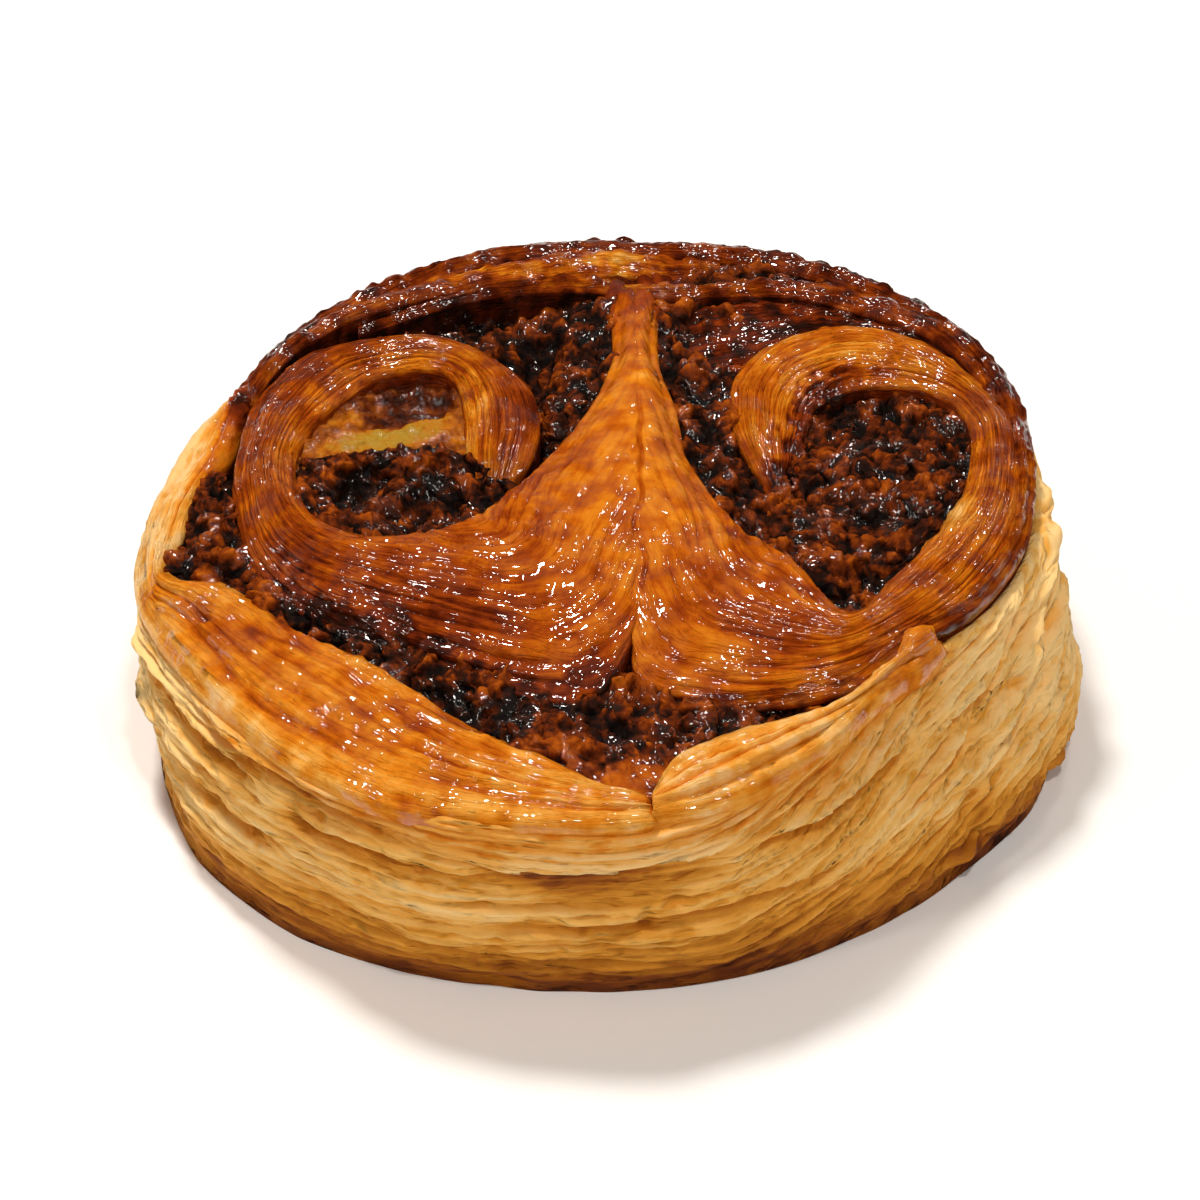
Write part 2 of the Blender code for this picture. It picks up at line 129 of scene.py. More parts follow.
FILLING_FRONT = [
    (-46, 19.5, -47.6, 20, 24.4, 24, 0.2), (-45.6, 10, -48.6, 10.5, 26, 25, 0.4),
    (-45.2, 3.4, -48.8, 4, 29.6, 29.2, 0.8), (-44, -3, -50.8, -3.6, 29.2, 27.6, 1),
    (-41.6, -9.8, -51.6, -11, 28.2, 26.6, 0.8), (-38.8, -14.4, -44, -15.8, 27.8, 27.4, 0.5),
    (-33.4, -18.4, -38.4, -21.4, 28.4, 27.4, 0.5), (-26, -23, -31.2, -27, 28.8, 27.6, 0.6),
    (-18.4, -26.6, -23.8, -33, 29, 27.6, 0.6), (-11.8, -30.4, -16, -39.4, 29, 27.4, 0.6),
    (-4.6, -32, -6.4, -44.2, 28.9, 27, 0.7), (1.8, -28.6, 1.4, -47.6, 28.9, 26.4, 0.6),
    (5.4, -32, 6.2, -47.6, 28.6, 26.4, 0.6), (9.6, -33.4, 9.4, -42.2, 28.4, 27.6, 0.6),
    (15, -33, 16, -39.4, 27.6, 27.4, 0.4), (20.4, -33, 21, -38, 27.2, 27, 0.2),
    (26, -31.6, 26.4, -36, 27, 26.8, 0.1),
]
FILLING_LEFT_CLEFT = [
    (-31, 31, -31.4, 33.2, 29.6, 29.6, 0.1), (-24.4, 30.4, -24.2, 36.4, 29.4, 28.8, 0.1),
    (-18.6, 28.4, -17, 38.8, 29, 28.4, 0.2), (-13, 24.8, -9.6, 40.2, 28.6, 28.6, 0.2),
    (-10.4, 20.6, 0.2, 40.4, 28.4, 31.2, 0.6), (-8.8, 16, 1.4, 27, 28.6, 31.6, 0.5),
    (-8.2, 11, -1.8, 15, 28.6, 31.2, 0.2), (-9.2, 6.2, -5.4, 7.6, 28.4, 30.6, 0.2),
    (-12, 3.2, -9, 2.4, 28.4, 29.4, 0.1),
]
FILLING_LEFT_EYE = [
    (-9.4, -0.6, -9, 3, 30.2, 29.4, 0), (-13.6, -3.8, -13.8, 5.4, 31, 30.2, -0.8),
    (-20, -7.6, -19.4, 8.8, 31.2, 31, -2.2), (-26, -9.2, -26, 8.6, 31.2, 31, -2.6),
    (-31.8, -7.8, -31.4, 8.2, 30.8, 30.8, -1.6), (-35.4, -4, -35.2, 7.6, 30.6, 30.6, -0.6),
    (-37.6, 1.8, -37.4, 6.8, 30.4, 30.2, 0),
]
FILLING_RIGHT_SIDE = [
    (4.8, 39.4, 14, 39.4, 30.8, 30.8, 0.2), (4.4, 31, 17.6, 33, 30.8, 30.4, 0.3),
    (4.8, 23, 17.4, 25.4, 30.6, 29.8, 0.4), (7.4, 14, 16.4, 18, 30.6, 29.4, 0.4),
    (9.2, 5, 18.6, 9.4, 30.4, 28.6, 0.3), (12.2, -2.4, 21.6, 4, 30.4, 28.6, 0.2),
    (15.6, -7.6, 25, -1, 30.2, 28.4, 0.2), (19, -11.2, 30, -4, 30, 28.4, 0.2),
    (21.8, -14.8, 35, -8, 29.6, 28.8, 0.1), (24.4, -18.8, 34.6, -13.4, 28.8, 28.6, 0),
    (26.8, -22.2, 30.4, -20.6, 28.4, 28.4, 0),
]
FILLING_RIGHT_EYE = [
    (17, -5, 21.4, 6.4, 28, 28.6, 0.1), (22, -8, 23.2, 14.4, 28.4, 29.2, 0.2),
    (28, -10, 29, 20.4, 28.6, 29.8, 0.3), (34, -11, 35, 20.6, 29.2, 30.2, 0.3),
    (39, -5.4, 40.6, 18.6, 30.2, 30.6, 0.2), (42.6, 1.6, 44.4, 12.6, 30.4, 30.6, 0.1),
]
FILLING_BACK = [
    (4.6, 43.2, 5, 46, 30.2, 30, 0.2), (10.4, 41.6, 10.8, 47.6, 30.4, 30, 0.3),
    (16.4, 41.4, 17.2, 48.8, 30.6, 30, 0.3), (22, 41.4, 23.6, 47.2, 30.8, 30.2, 0.3),
    (28, 40, 29.6, 44.4, 30.8, 30.4, 0.2), (35, 35.8, 37.6, 39.4, 30.8, 30.4, 0.2),
    (41.6, 29.4, 44, 31.6, 30.8, 30.4, 0.1), (45.8, 21, 47.6, 22.4, 30.8, 30.6, 0.1),
]
FOLD_LEFT = [
    (-36, 33.5, -38.6, 36.4, 28.4, 27.8, 0.2), (-40.4, 25.6, -45.1, 29, 28.8, 26.4, 0.3),
    (-44.4, 17.6, -50.7, 20, 29, 25.6, 0.5), (-45.6, 10.6, -53.7, 11.6, 29, 25, 0.7),
    (-47.2, 6.4, -55.3, 5, 28.8, 24.9, 0.9), (-49.4, 1.4, -56.2, -0.2, 28.2, 24.7, 0.9),
    (-50.4, -4.4, -56.5, -5.4, 27.8, 24.6, 0.8), (-51.6, -8.4, -56, -9.6, 26.6, 24.6, 0.5),
    (-50.4, -11.6, -54.9, -13.6, 27.4, 24.8, 0.6), (-45.2, -13.2, -52.2, -19.6, 27.9, 25.2, 0.9),
    (-40.2, -16.6, -47.8, -27.4, 28.2, 26.2, 1.1), (-35, -21.8, -42.6, -35, 28.5, 27.2, 1.3),
    (-28.4, -27.2, -36.4, -42.4, 28.8, 28, 1.4), (-21.6, -33.2, -28.3, -49.1, 28.8, 28.6, 1.4),
    (-15.6, -38.2, -20.6, -52.8, 28.8, 28.9, 1.3), (-9.4, -41.8, -11.9, -54.6, 28.4, 28.9, 1.1),
    (-2.4, -45.4, -2.9, -54.9, 27.8, 28.8, 0.9), (2.6, -48, 4, -53.6, 27, 28.4, 0.6),
    (3.4, -49, 4.8, -51.4, 25.4, 26.2, 0.3),
]
FOLD_RIGHT = [
    (5.2, -46.8, 4.4, -53.2, 26.4, 28.6, 0.5), (7.2, -43.2, 9.4, -52, 28.4, 28.6, 0.9),
    (12, -41, 15, -49.7, 29.2, 29.2, 1.4), (17.6, -39, 20.6, -45.9, 29.4, 29.7, 1.5),
    (22.4, -37.4, 25.4, -41.4, 29.6, 30.2, 1.1), (27.2, -34.2, 29.6, -36, 29.6, 30.2, 0.8),
    (30.6, -28.4, 33.8, -31.4, 30, 29.8, 0.8), (33.8, -24.4, 36.9, -27.8, 30.2, 29.4, 1),
    (35.8, -22.2, 38.2, -25, 29, 28.4, 0.6), (37.2, -20.8, 38.8, -22.9, 26.8, 26.6, 0.2),
]
# The wall's rim at the right: x, y, height.
RIM_RIGHT = [
    (40.6, -24.8, 29.2), (46, -18.6, 29.2), (50.4, -9.4, 28.6), (52.6, 1, 28.2), (52.4, 11, 28.4),
    (49.6, 21.2, 28.8),
]
# Points x, y round the wrap's foot.
FOOT = [
    (54.8, 1), (53, 14), (48, 26.4), (39.4, 37.4), (28, 45.8), (15, 51), (1, 52.6),
    (-13, 51), (-27, 45.6), (-38.6, 37.6), (-47, 28), (-52.4, 16), (-54.6, 4), (-54.8, -8),
    (-53.4, -17.4), (-48.1, -31), (-41.8, -38.3), (-35.6, -43.5), (-27.4, -47.5), (-20.5, -49.9),
    (-12.5, -51.5), (-2.3, -52.2), (10.1, -51.1), (19.3, -48.3), (28.7, -43.2), (35.9, -38),
    (43.4, -30.5), (49.9, -22.7), (53.8, -12),
]

# ---- spots
# A spot: place x, y, radius along x, radius along y, amount.

# How deep the pits in the filling are.
PITS = [
    (-23, -0.4, 6, 1.8, 2.4), (-9.4, 28.4, 2.8, 5, 4.4), (-9.8, 17, 1.4, 5, 3),
    (-11, 3, 2, 1.4, 2), (17.6, -4, 2.2, 2.2, 2.6), (29.5, -14.5, 2.4, 2.2, 2.4),
    (24, 2, 5, 2, 1.6), (12, 30, 2.6, 3, 2.4),
]
# How much paler ridges and lip are where they are orange rather than dark.
GLOWS = [
    (-16.5, 43.6, 7, 2.4, 0.34), (0.5, 46.8, 5, 3, 0.34), (4, 41, 7, 3, 0.36),
    (-30, 37.5, 6, 2, 0.12), (44, -16, 14, 9, 0.24), (50, -2, 5, 9, 0.2),
    (24, -33, 18, 6, 0.22), (14, 50, 6, 2, 0.14),
]
# How much darker the scrolls and the left fold are, or paler where the amount is below 0.
BROWNED_LEFT = [
    (3, 4, 7, 34, -0.07), (-20, -24, 16, 7, 0.12), (-40, 26, 8, 8, 0.10),
    (-10, 16, 4, 9, 0.16), (-16.6, 12, 2.6, 8, -0.16),
]
BROWNED_RIGHT = [
    (3, 4, 7, 34, -0.07), (40.5, -3, 3, 8, -0.24), (16, -22, 12, 8, 0.06),
    (49, 12, 3, 12, 0.12), (28, 25, 11, 7, -0.12), (19, 14, 5, 6, -0.04),
]
CLOT = (-45.4, 19, 1.5, 3.4)  # a dark lump of filling on the left fold: place and radii
DIMPLE = (-47.5, -18.5, 1.3, 1.3)  # a darker dimple in it
BROWNED_FOLD = [
    (-40, -23, 8, 3.5, 0.14), (-20, -40, 12, 5, 0.08), (-3, -50, 11, 5, -0.12),
    (*CLOT, 0.5),
]


def step(low, high, x):
    """0 below low, 1 above high, smooth between; or 1 below and 0 above where low is the greater."""
    share = np.clip((x - low) / (high - low), 0, 1)
    return share * share * (3 - 2 * share)


def between(rise, full, fade, end, x):
    """0 before rise and after end, 1 from full to fade, smooth between."""
    return step(rise, full, x) * (1 - step(fade, end, x))


def bell(x, middle, width):
    """1 at the middle, fading out over the width on both sides."""
    return np.exp(-(((x - middle) / width) ** 2))


def spot(x, y, at_x, at_y, radius_x, radius_y):
    """1 at a place in plan, fading out over the radii."""
    return bell(x, at_x, radius_x) * bell(y, at_y, radius_y)


def spots(strip, table):
    """The sum of a table's spots over a strip."""
    return sum(amount * spot(strip.x, strip.y, *place) for *place, amount in table)


# ---- noise

TABLE = 1024
_random = np.random.default_rng(11)
SHUFFLE = _random.permutation(TABLE)
SLOPES = _random.normal(size=(TABLE, 3))
SLOPES /= np.linalg.norm(SLOPES, axis=1, keepdims=True)
PLACES = _random.random((TABLE, 3))
VALUES = _random.random(TABLE)


def pick(cell, seed):
    """A table index for each lattice cell."""
    index = SHUFFLE[(cell[..., 0] + 31 * seed) % TABLE]
    index = SHUFFLE[(index + cell[..., 1]) % TABLE]
    return SHUFFLE[(index + cell[..., 2]) % TABLE]


def noise(points, seed):
    """Smooth gradient noise at rows of points, about -1 to 1."""
    cell = np.floor(points).astype(int)
    part = points - cell
    fade = part**3 * (part * (part * 6 - 15) + 10)
    total = np.zeros(points.shape[:-1])
    for corner in itertools.product((0, 1), repeat=3):
        corner = np.array(corner)
        slope = (SLOPES[pick(cell + corner, seed)] * (part - corner)).sum(-1)
        total += slope * np.where(corner, fade, 1 - fade).prod(-1)
    return 1.5 * total


def clouds(points, seed, octaves):
    """Noise summed over octaves, each half as long and half as strong as the one before."""
    return sum(noise(points * 2**octave, seed + octave) * 0.5**octave for octave in range(octaves))


def cells(points, seed):
    """The distance to the nearest of scattered points, and that point's own value from 0 to 1."""
    base = np.floor(points).astype(int)
    nearest = np.full(points.shape[:-1], np.inf)
    value = np.zeros_like(nearest)
    for shift in itertools.product((-1, 0, 1), repeat=3):
        cell = base + np.array(shift)
        index = pick(cell, seed)
        distance = np.linalg.norm(cell + PLACES[index] - points, axis=-1)
        value = np.where(distance < nearest, VALUES[index], value)
        nearest = np.minimum(nearest, distance)
    return nearest, value


def dome(near, reach):
    """A smooth-topped bump from the distance to its middle."""
    return np.clip(1 - (near / reach) ** 2, 0, 1)


# ---- shapes


def curve(knots, places):
    """Catmull-Rom values at fractional places along the knots' rows."""
    last = len(knots) - 1
    i = np.clip(np.floor(places).astype(int), 0, last - 1)
    a, b, c, d = (knots[np.clip(i + k, 0, last)] for k in (-1, 0, 1, 2))
    t = (places - i)[:, None]
    return b + 0.5 * t * (c - a + t * (2 * a - 5 * b + 4 * c - d + t * (3 * (b - c) + d - a)))


def sections(knots, along):
    """Stations at even distances along the strip's middle, and those distances in mm."""
    fine = np.linspace(0, len(knots) - 1, 60 * len(knots))
    dense = curve(knots, fine)
    middle = (dense[:, :2] + dense[:, 2:4]) / 2
    length = np.concatenate([[0], np.cumsum(np.linalg.norm(np.diff(middle, axis=0), axis=1))])
    distance = np.linspace(0, length[-1], along)
    return curve(knots, np.interp(distance, length, fine)), distance


def normals_of(points):
    """Unit normals of a grid of points."""
    across = np.cross(np.gradient(points, axis=0), np.gradient(points, axis=1))
    return across / np.maximum(np.linalg.norm(across, axis=-1, keepdims=True), 1e-9)


class Ribbon:
    """A strip through stations: rolled edges, a crowned top and skirts down to its foot.

    run is the distance along it in mm, share the place across its top from 0 to 1, and across the same
    place in mm on a strip of its nominal width, carried on down the skirts. fibrous says how strongly
    its material is lined, and top is 1 above the skirts.
    """

    ROLL_ROWS = 4
    SKIRT_ROWS = 3
    NOMINAL_WIDTH = 24.0
    MOST_ROLL, MOST_TUCK = 0.32, 0.45  # of the edges, as shares of the width

    def __init__(self, stations, along, rows, roll, foot=20.0, tuck=0.0, fan=None):
        cut, distance = sections(np.array(stations), along)
        inner, outer = cut[:, None, :2], cut[:, None, 2:4]
        low, high, crown = (cut[:, 4 + k, None] for k in range(3))
        width = np.linalg.norm(outer - inner, axis=-1)
        radius = np.minimum(roll, self.MOST_ROLL * width)
        place = self.places(width, radius, rows, tuck)
        height, edge = self.heights(low, high, crown, radius, rows, foot)
        plan = inner + (outer - inner) * place[..., None]
        self.points = np.concatenate([plan, height[..., None]], axis=-1)
        self.run = distance[:, None].repeat(place.shape[1], 1)
        self.share, self.width = place, width
        side = np.where(place > 0.5, 1.0, -1.0)
        spread, leave = self.spread_over(width, distance[:, None], fan)
        self.across = (place - 1) * spread - leave + side * np.maximum(edge - height, 0)
        self.room = width / spread
        self.top = (height > edge - radius * 0.9).astype(float)
        self.fibrous = np.ones_like(place)
        normals = normals_of(self.points)
        self.normals = normals * math.copysign(1, normals[:, normals.shape[1] // 2, 2].mean())

    def places(self, width, radius, rows, tuck):
        """Each row's place from the inner edge to the outer: skirt, roll, top, roll and skirt."""
        turn = np.linspace(0, math.pi / 2, self.ROLL_ROWS, endpoint=False)
        roll_in = radius / width * (1 - np.cos(turn))
        top_in = radius / width + np.linspace(0, 1, rows) * (1 - 2 * radius / width)
        tucked = np.minimum(tuck / width, self.MOST_TUCK) * (1 - np.linspace(0, 1, self.SKIRT_ROWS))
        return np.hstack([tucked, roll_in, top_in, 1 - roll_in[:, ::-1], 1 - tucked[:, ::-1]])

    def heights(self, low, high, crown, radius, rows, foot):
        """Each row's height, and the height of the edge it hangs from."""
        turn = np.linspace(0, math.pi / 2, self.ROLL_ROWS, endpoint=False)
        drop = radius * (1 - np.sin(turn))
        up = 1 - np.linspace(1, 0, self.SKIRT_ROWS, endpoint=False) ** 1.5
        skirt_low, skirt_high = (foot + (edge - radius - foot) * up for edge in (low, high))
        share = np.linspace(0, 1, rows)
        top = low + (high - low) * share + crown * (1 - (2 * share - 1) ** 2)
        height = np.hstack([skirt_low, low - drop, top, high - drop[:, ::-1], skirt_high[:, ::-1]])
        side_rows = self.ROLL_ROWS + self.SKIRT_ROWS
        return height, np.hstack([low.repeat(side_rows, 1), top, high.repeat(side_rows, 1)])

    def spread_over(self, width, distance, fan):
        """How many mm of layers fill the width, and how far layers have run off the outer edge.

        A fan is (its end along the strip in mm, how far its layers slant in all): there the layers keep
        their own thickness, and leave the outer edge at a slant, as the veins of a leaf do.
        """
        if fan is None:
            return np.full_like(width, self.NOMINAL_WIDTH), 0.0
        end, slant = fan
        ring = step(end - 14, end + 6, distance)
        leave = slant * (1 - np.clip(distance / end, 0, 1)) ** 0.8
        return width * (1 - ring) + self.NOMINAL_WIDTH * ring, leave

    @property
    def x(self):
        return self.points[..., 0]

    @property
    def y(self):
        return self.points[..., 1]

    def field(self, along, across, seed, warp=0.0):
        """Noise points stretched along the strip, with wavelengths in mm."""
        wander = np.stack([self.run / 22, np.full_like(self.run, seed), self.across / 9], axis=-1)
        spread = self.across + warp * noise(wander, seed + 5)
        return np.stack([self.run / along, np.full_like(self.run, 7.3 * seed), spread / across], axis=-1)

    def raise_by(self, relief):
        """Moves the surface out by relief in mm, less on the hidden skirts."""
        self.points = self.points + self.normals * (relief * (0.25 + 0.75 * self.top))[..., None]

    def mesh(self, name, tone):
        """The closed mesh, with its flow and tone."""
        along, rows = self.points.shape[:2]
        index = np.arange(along * rows).reshape(along, rows)
        near, far = index[:-1], index[1:]
        quads = np.stack([near, np.roll(near, -1, 1), np.roll(far, -1, 1), far], axis=-1).reshape(-1, 4)
        faces = quads.tolist() + [index[0][::-1].tolist(), index[-1].tolist()]
        flow = np.stack([self.run, self.fibrous, self.across], axis=-1)
        return make_object(name, self.points, faces, flow, tone)


def make_object(name, points, faces, flow, tone):
    """A smooth object from points in mm, turned outwards, carrying flow and tone for its material."""
    mesh = bpy.data.meshes.new(name)
    mesh.from_pydata((points.reshape(-1, 3) * MM).tolist(), [], faces)
    if signed_volume(mesh) < 0:
        mesh.flip_normals()
    vector = mesh.attributes.new("flow", "FLOAT_VECTOR", "POINT")
    vector.data.foreach_set("vector", np.asarray(flow, np.float32).ravel())
    value = mesh.attributes.new("tone", "FLOAT", "POINT")
    value.data.foreach_set("value", np.clip(tone, 0, 1).astype(np.float32).ravel())
    mesh.shade_smooth()
    return add_object(name, mesh)


def add_object(name, data):
    """A new object in the scene."""
    made = bpy.data.objects.new(name, data)
    bpy.context.scene.collection.objects.link(made)
    return made


def signed_volume(mesh):
    """The enclosed volume times 6, negative if the faces point inwards."""
    mesh.calc_loop_triangles()
    corners = np.empty(len(mesh.loop_triangles) * 3, np.int32)
    mesh.loop_triangles.foreach_get("vertices", corners)
    points = np.empty(len(mesh.vertices) * 3, np.float32)
    mesh.vertices.foreach_get("co", points)
    a, b, c = points.reshape(-1, 3)[corners].reshape(-1, 3, 3).transpose(1, 0, 2).astype(float)
    return np.einsum("ij,ij->i", a, np.cross(b, c)).sum()


# ---- strips of dough

LAYERS = [  # wavelengths along and across, warp, height, sharpness, and the steepness and painted shade of the crease, of each size of baked layer
    (20, 2.2, 2.0, 1.15, 0.35, 9, 0.6),
    (10, 1.2, 1.4, 0.22, 0.30, 8, 0.4),
    (8, 0.7, 0.9, 0.07, 0.25, 0, 0.0),
]
SCROLL_MESH = (410, 144)
SCROLL_DEPTH = 0.84
SKIRT_SHADE = 0.25  # how much darker a strip's skirts are than its top


def layer_relief(strip, depth, seed, waves=1.0):
    """Layers of dough along a strip: rounded sheets with sharp creases between, finer where it narrows. It
    also gives crease, the painted shade that darkens the creases.
    """
    rounded, crease = -0.65, 0.0
    for number, (along, across, warp, height, sharp, steep, dark) in enumerate(LAYERS, seed):
        wave = np.abs(noise(strip.field(along, across, number, warp * waves), number))
        rounded = rounded + height * wave / (sharp + wave)
        crease = crease + np.exp(-wave * steep) * dark
    room = np.clip(1.3 * strip.room, 0.3, 1.0)
    relief = depth * room * rounded + 0.2 * clouds(strip.points / 3.4, seed + 3, 2)
    return relief + beads(strip.points, seed + 5), crease


def beads(points, seed):
    """Drops and blisters of sugar glaze, in patches, in mm."""
    near, value = cells(points / 2.0, seed)
    tiny, grain = cells(points / 1.1, seed + 1)
    patch = step(-0.4, 0.35, noise(points / 6.5, seed + 2))
    big = step(0.3, 0.8, value) * dome(near, 0.5) ** 1.5
    small = step(0.2, 0.8, grain) * dome(tiny, 0.5) ** 1.5
    return patch * (0.30 * big + 0.13 * small)


def streaks(strip, seed):
    """Colour streaks along a strip, about -1 to 1."""
    wide = noise(strip.field(40, 3.4, seed, 1.6), seed)
    thin = noise(strip.field(12, 0.9, seed + 1, 1.2), seed + 1)
    return 0.6 * wide + 0.55 * thin


def seam_line(strip):
    """1 along the thin closed line between the two scrolls."""
    level = np.zeros_like(strip.y)
    wander = 3.5 + 1.1 * noise(np.stack([level, strip.y / 7, level], axis=-1), 95)
    return bell(strip.x, wander, 0.28) * between(-24, -18, 2, 22, strip.y)


def frayed_edge(strip, first, last, inset, outer=True):
    """Where one edge is crusted with crumbs between two places along it, and the crumbs' height."""
    length = between(first, first + 12, last - 10, last, strip.run)
    inside = (1 - strip.share if outer else strip.share) * strip.width
    edge = length * step(inset + 1.2, inset - 0.6, inside + 3.0 * clouds(strip.points / 3.0, 91, 4))
    near, value = cells(strip.points / 1.2, 92)
    return np.stack([edge, edge * dome(near, 0.85) * (0.2 + 0.9 * value)])


SCROLLS = [
    {
        "name": "scroll_left", "stations": SCROLL_LEFT, "seed": 3, "fan": (72, 27), "straighten": 0.8,
        "frays": [(62, 106, 3.0)], "crumbly": (0.8, 0.4, 0.28, 0.12), "base": 0.42, "darker": BROWNED_LEFT,
        "streaked": 0.11,
    },
    {
        "name": "scroll_right", "stations": SCROLL_RIGHT, "seed": 23, "fan": (70, 23), "straighten": 0.7,
        "frays": [(146, 260, 2.6, False), (176, 260, 2.8)], "crumbly": (1.4, 0.6, 0.36, 0.24), "base": 0.40,
        "darker": BROWNED_RIGHT, "streaked": 0.10,
    },
]


def scroll(name, stations, seed, fan, straighten, frays, crumbly, base, darker, streaked):
    """Half of the rolled strip: the smooth seam, a fan of layers, and the ring round one eye.

    frays are the stretches where crumbs stick to an edge, and crumbly how that looks: the crumbs' height, how
    far the edge is sunk, how much darker the edge is, and how much paler the crumbs are on it.
    """
    strip = Ribbon(stations, *SCROLL_MESH, roll=1.1, fan=fan)
    relief, crease = layer_relief(strip, SCROLL_DEPTH, seed, 1.1 - straighten * step(75, 95, strip.run))
    frayed, crumbs = np.max([frayed_edge(strip, *fray) for fray in frays], axis=0)
    raised, sunk, dark, pale = crumbly
    calm = np.clip(1.25 * spot(strip.x, strip.y, 3.2, 14, 9, 28), 0, 1)
    strip.fibrous = (1 - 0.85 * calm) * (0.6 + 0.4 * step(75, 100, strip.run))
    strip.raise_by(relief * (1 - 0.75 * calm) + raised * crumbs - sunk * frayed - 0.5 * seam_line(strip))
    inner_turn = step(96, 116, strip.run) * (1 - step(0.35, 0.6, strip.share)) * step(-10, -20, strip.x)
    tone = base + spots(strip, darker) + dark * frayed - pale * crumbs - 0.08 * inner_turn
    tone += 0.06 * step(-6, -26, strip.x) + 0.3 * step(30, 42, strip.y) + 0.16 * seam_line(strip)
    tone += 0.10 * calm * clouds(strip.points / 4, 93, 3)
    # crease darkens the creases between the layers: painted shade
    tone += (streaked * streaks(strip, seed + 5) + 0.24 * crease) * (1 - 0.7 * calm)
    return strip.mesh(name, tone + SKIRT_SHADE * (1 - strip.top))


SIDE_STRIPS = [  # name, stations, sections, rows across, depth of relief, tone, seed, foot, tuck
    ("lip", LIP, 540, 30, 0.5, 0.67, 101, 26.6, 2.4),
    ("ridge_back_left", RIDGE_BACK_LEFT, 330, 44, 0.6, 0.58, 121, 20.0, 1.0),
    ("ridge_cleft", RIDGE_CLEFT, 200, 26, 0.4, 0.68, 141, 20.0, 1.0),
    ("ridge_back_right", RIDGE_BACK_RIGHT, 260, 36, 0.5, 0.62, 161, 20.0, 1.0),
    ("turn_right", TURN_RIGHT, 240, 50, 0.5, 0.75, 181, 20.0, 1.0),
]


def side_strip(name, stations, along, rows, depth, tone, seed, foot, tuck):
    """A ridge or lip of dough with the same layers as the scrolls, paler in the glossy spots of GLOWS."""
    strip = Ribbon(stations, along, rows, roll=0.9, foot=foot, tuck=tuck)
    relief, crease = layer_relief(strip, depth, seed)
    knobs = clouds(strip.points / 2.4, seed + 7, 3)
    near, value = cells(strip.points / 2.6, seed + 8)
    drops = dome(near, 0.62) * step(0.45, 0.9, value) * step(24, 30, strip.y)
    strip.raise_by(relief + 0.32 * knobs + 0.55 * drops)
    # crease darkens the creases between the layers: painted shade
    tone = tone - spots(strip, GLOWS) + 0.16 * streaks(strip, seed + 9) + 0.14 * crease + 0.2 * knobs
    return strip.mesh(name, tone + SKIRT_SHADE * (1 - strip.top))


def fold_left():
    """The wrap's top edge folded in, from the lip at the back left to the notch at the front."""
    strip = Ribbon(FOLD_LEFT, 520, 80, roll=1.7, foot=21.0, tuck=3.0)
    relief, crease = layer_relief(strip, 0.7, 301)
    fat = np.abs(noise(strip.field(34, 5.6, 303, 2.0), 303))
    dimple = spot(strip.x, strip.y, *DIMPLE)
    clot = spot(strip.x, strip.y, *CLOT) * (1.2 + clouds(strip.points / 1.6, 306, 3))
    strip.fibrous = 0.5 - 0.3 * step(0, 8, strip.y)
    strip.raise_by(relief + 1.5 * fat - 0.3 - 1.5 * dimple + clot + 0.25 * clouds(strip.points / 6, 305, 2))
    x, y, share = strip.x, strip.y, strip.share
    tone = 0.28 + spots(strip, BROWNED_FOLD) + 0.3 * dimple
    tone -= 0.22 * step(0.82, 0.99, share) * step(-22, -38, x) + 0.26 * step(-46, -53, x) * step(-14, -6, y)
    tone += 0.2 * step(0.5, 0.2, share) * step(-2, 6, y) - 0.06 * step(4, 12, y)
    # crease and the term in fat darken the creases and the valleys between the fat ridges, and the ridges are
    # a little paler: painted shade and painted light
    tone += 0.08 * streaks(strip, 308) + 0.10 * crease + 0.16 * np.exp(-fat * 10) - 0.08 * fat
    return strip.mesh("fold_left", tone)


def fold_right():
    """The other side of the notch: fat pale ridges, then a smooth edge that runs under the right scroll."""
    strip = Ribbon(FOLD_RIGHT, 340, 70, roll=1.5, foot=21.0, tuck=2.6)
    relief, crease = layer_relief(strip, 0.4, 321)
    fat = np.abs(noise(strip.field(26, 4.6, 327), 327)) * step(34, 26, strip.x)
    crumpled = spot(strip.x, strip.y, 35, -26, 4.6, 4.6) * (0.6 + 0.9 * noise(strip.points / 3.0, 329))
    strip.raise_by(relief + 1.7 * fat - 0.2 + 1.5 * crumpled)
    strip.fibrous = np.full_like(fat, 0.35)
    # crease and the term in fat darken the creases and the valleys between the fat ridges, and the ridges are
    # a little paler: painted shade and painted light
    tone = 0.12 + 0.04 * streaks(strip, 328) + 0.06 * crease + 0.2 * np.exp(-fat * 10) - 0.08 * fat
    return strip.mesh("fold_right", tone)


# ---- wall

WALL_SECTIONS = 740
WALL_ROWS = {"base": 5, "wall": 108, "top": 9}
WALL_HEIGHT = 27.0  # the wall's sheets are counted over this height, so that they follow its rim
FLOW_RADIUS = 50.0  # and measured round a circle of this radius
# How far the sheets are shifted down at each angle round from the right, so that they rise to the right.
LEAN = ((-180, -75, -4, 20, 160, 180), (17.0, 17.0, 0.0, 0.0, 17.0, 17.0))
SHEETS = [(2.1, 0.9, 24, 60), (1.2, 0.7, 9, 80)]  # pitch, depth, length and seed
SLITS = [  # first and last degree round from the right, height at the first, rise per degree, depth
    (188, 226, 17.8, 0.055, 2.0), (212, 246, 22.6, 0.035, 2.3), (226, 258, 18.6, 0.03, 1.6),
    (200, 232, 12.6, 0.04, 1.6), (286, 318, 19.4, 0.05, 1.5), (262, 300, 12.0, 0.02, 1.2),
]
# Soft upright wrinkles at the right: middle in degrees 20 mm up, lean in degrees per mm, half width, height.
WRINKLES = [(-19, 2.1, 2.8, 1.9), (-7, 1.6, 2.6, 1.0), (-33, 2.0, 2.4, 0.7)]
LIP_BACK = 25  # the wall meets the lip where y is over this


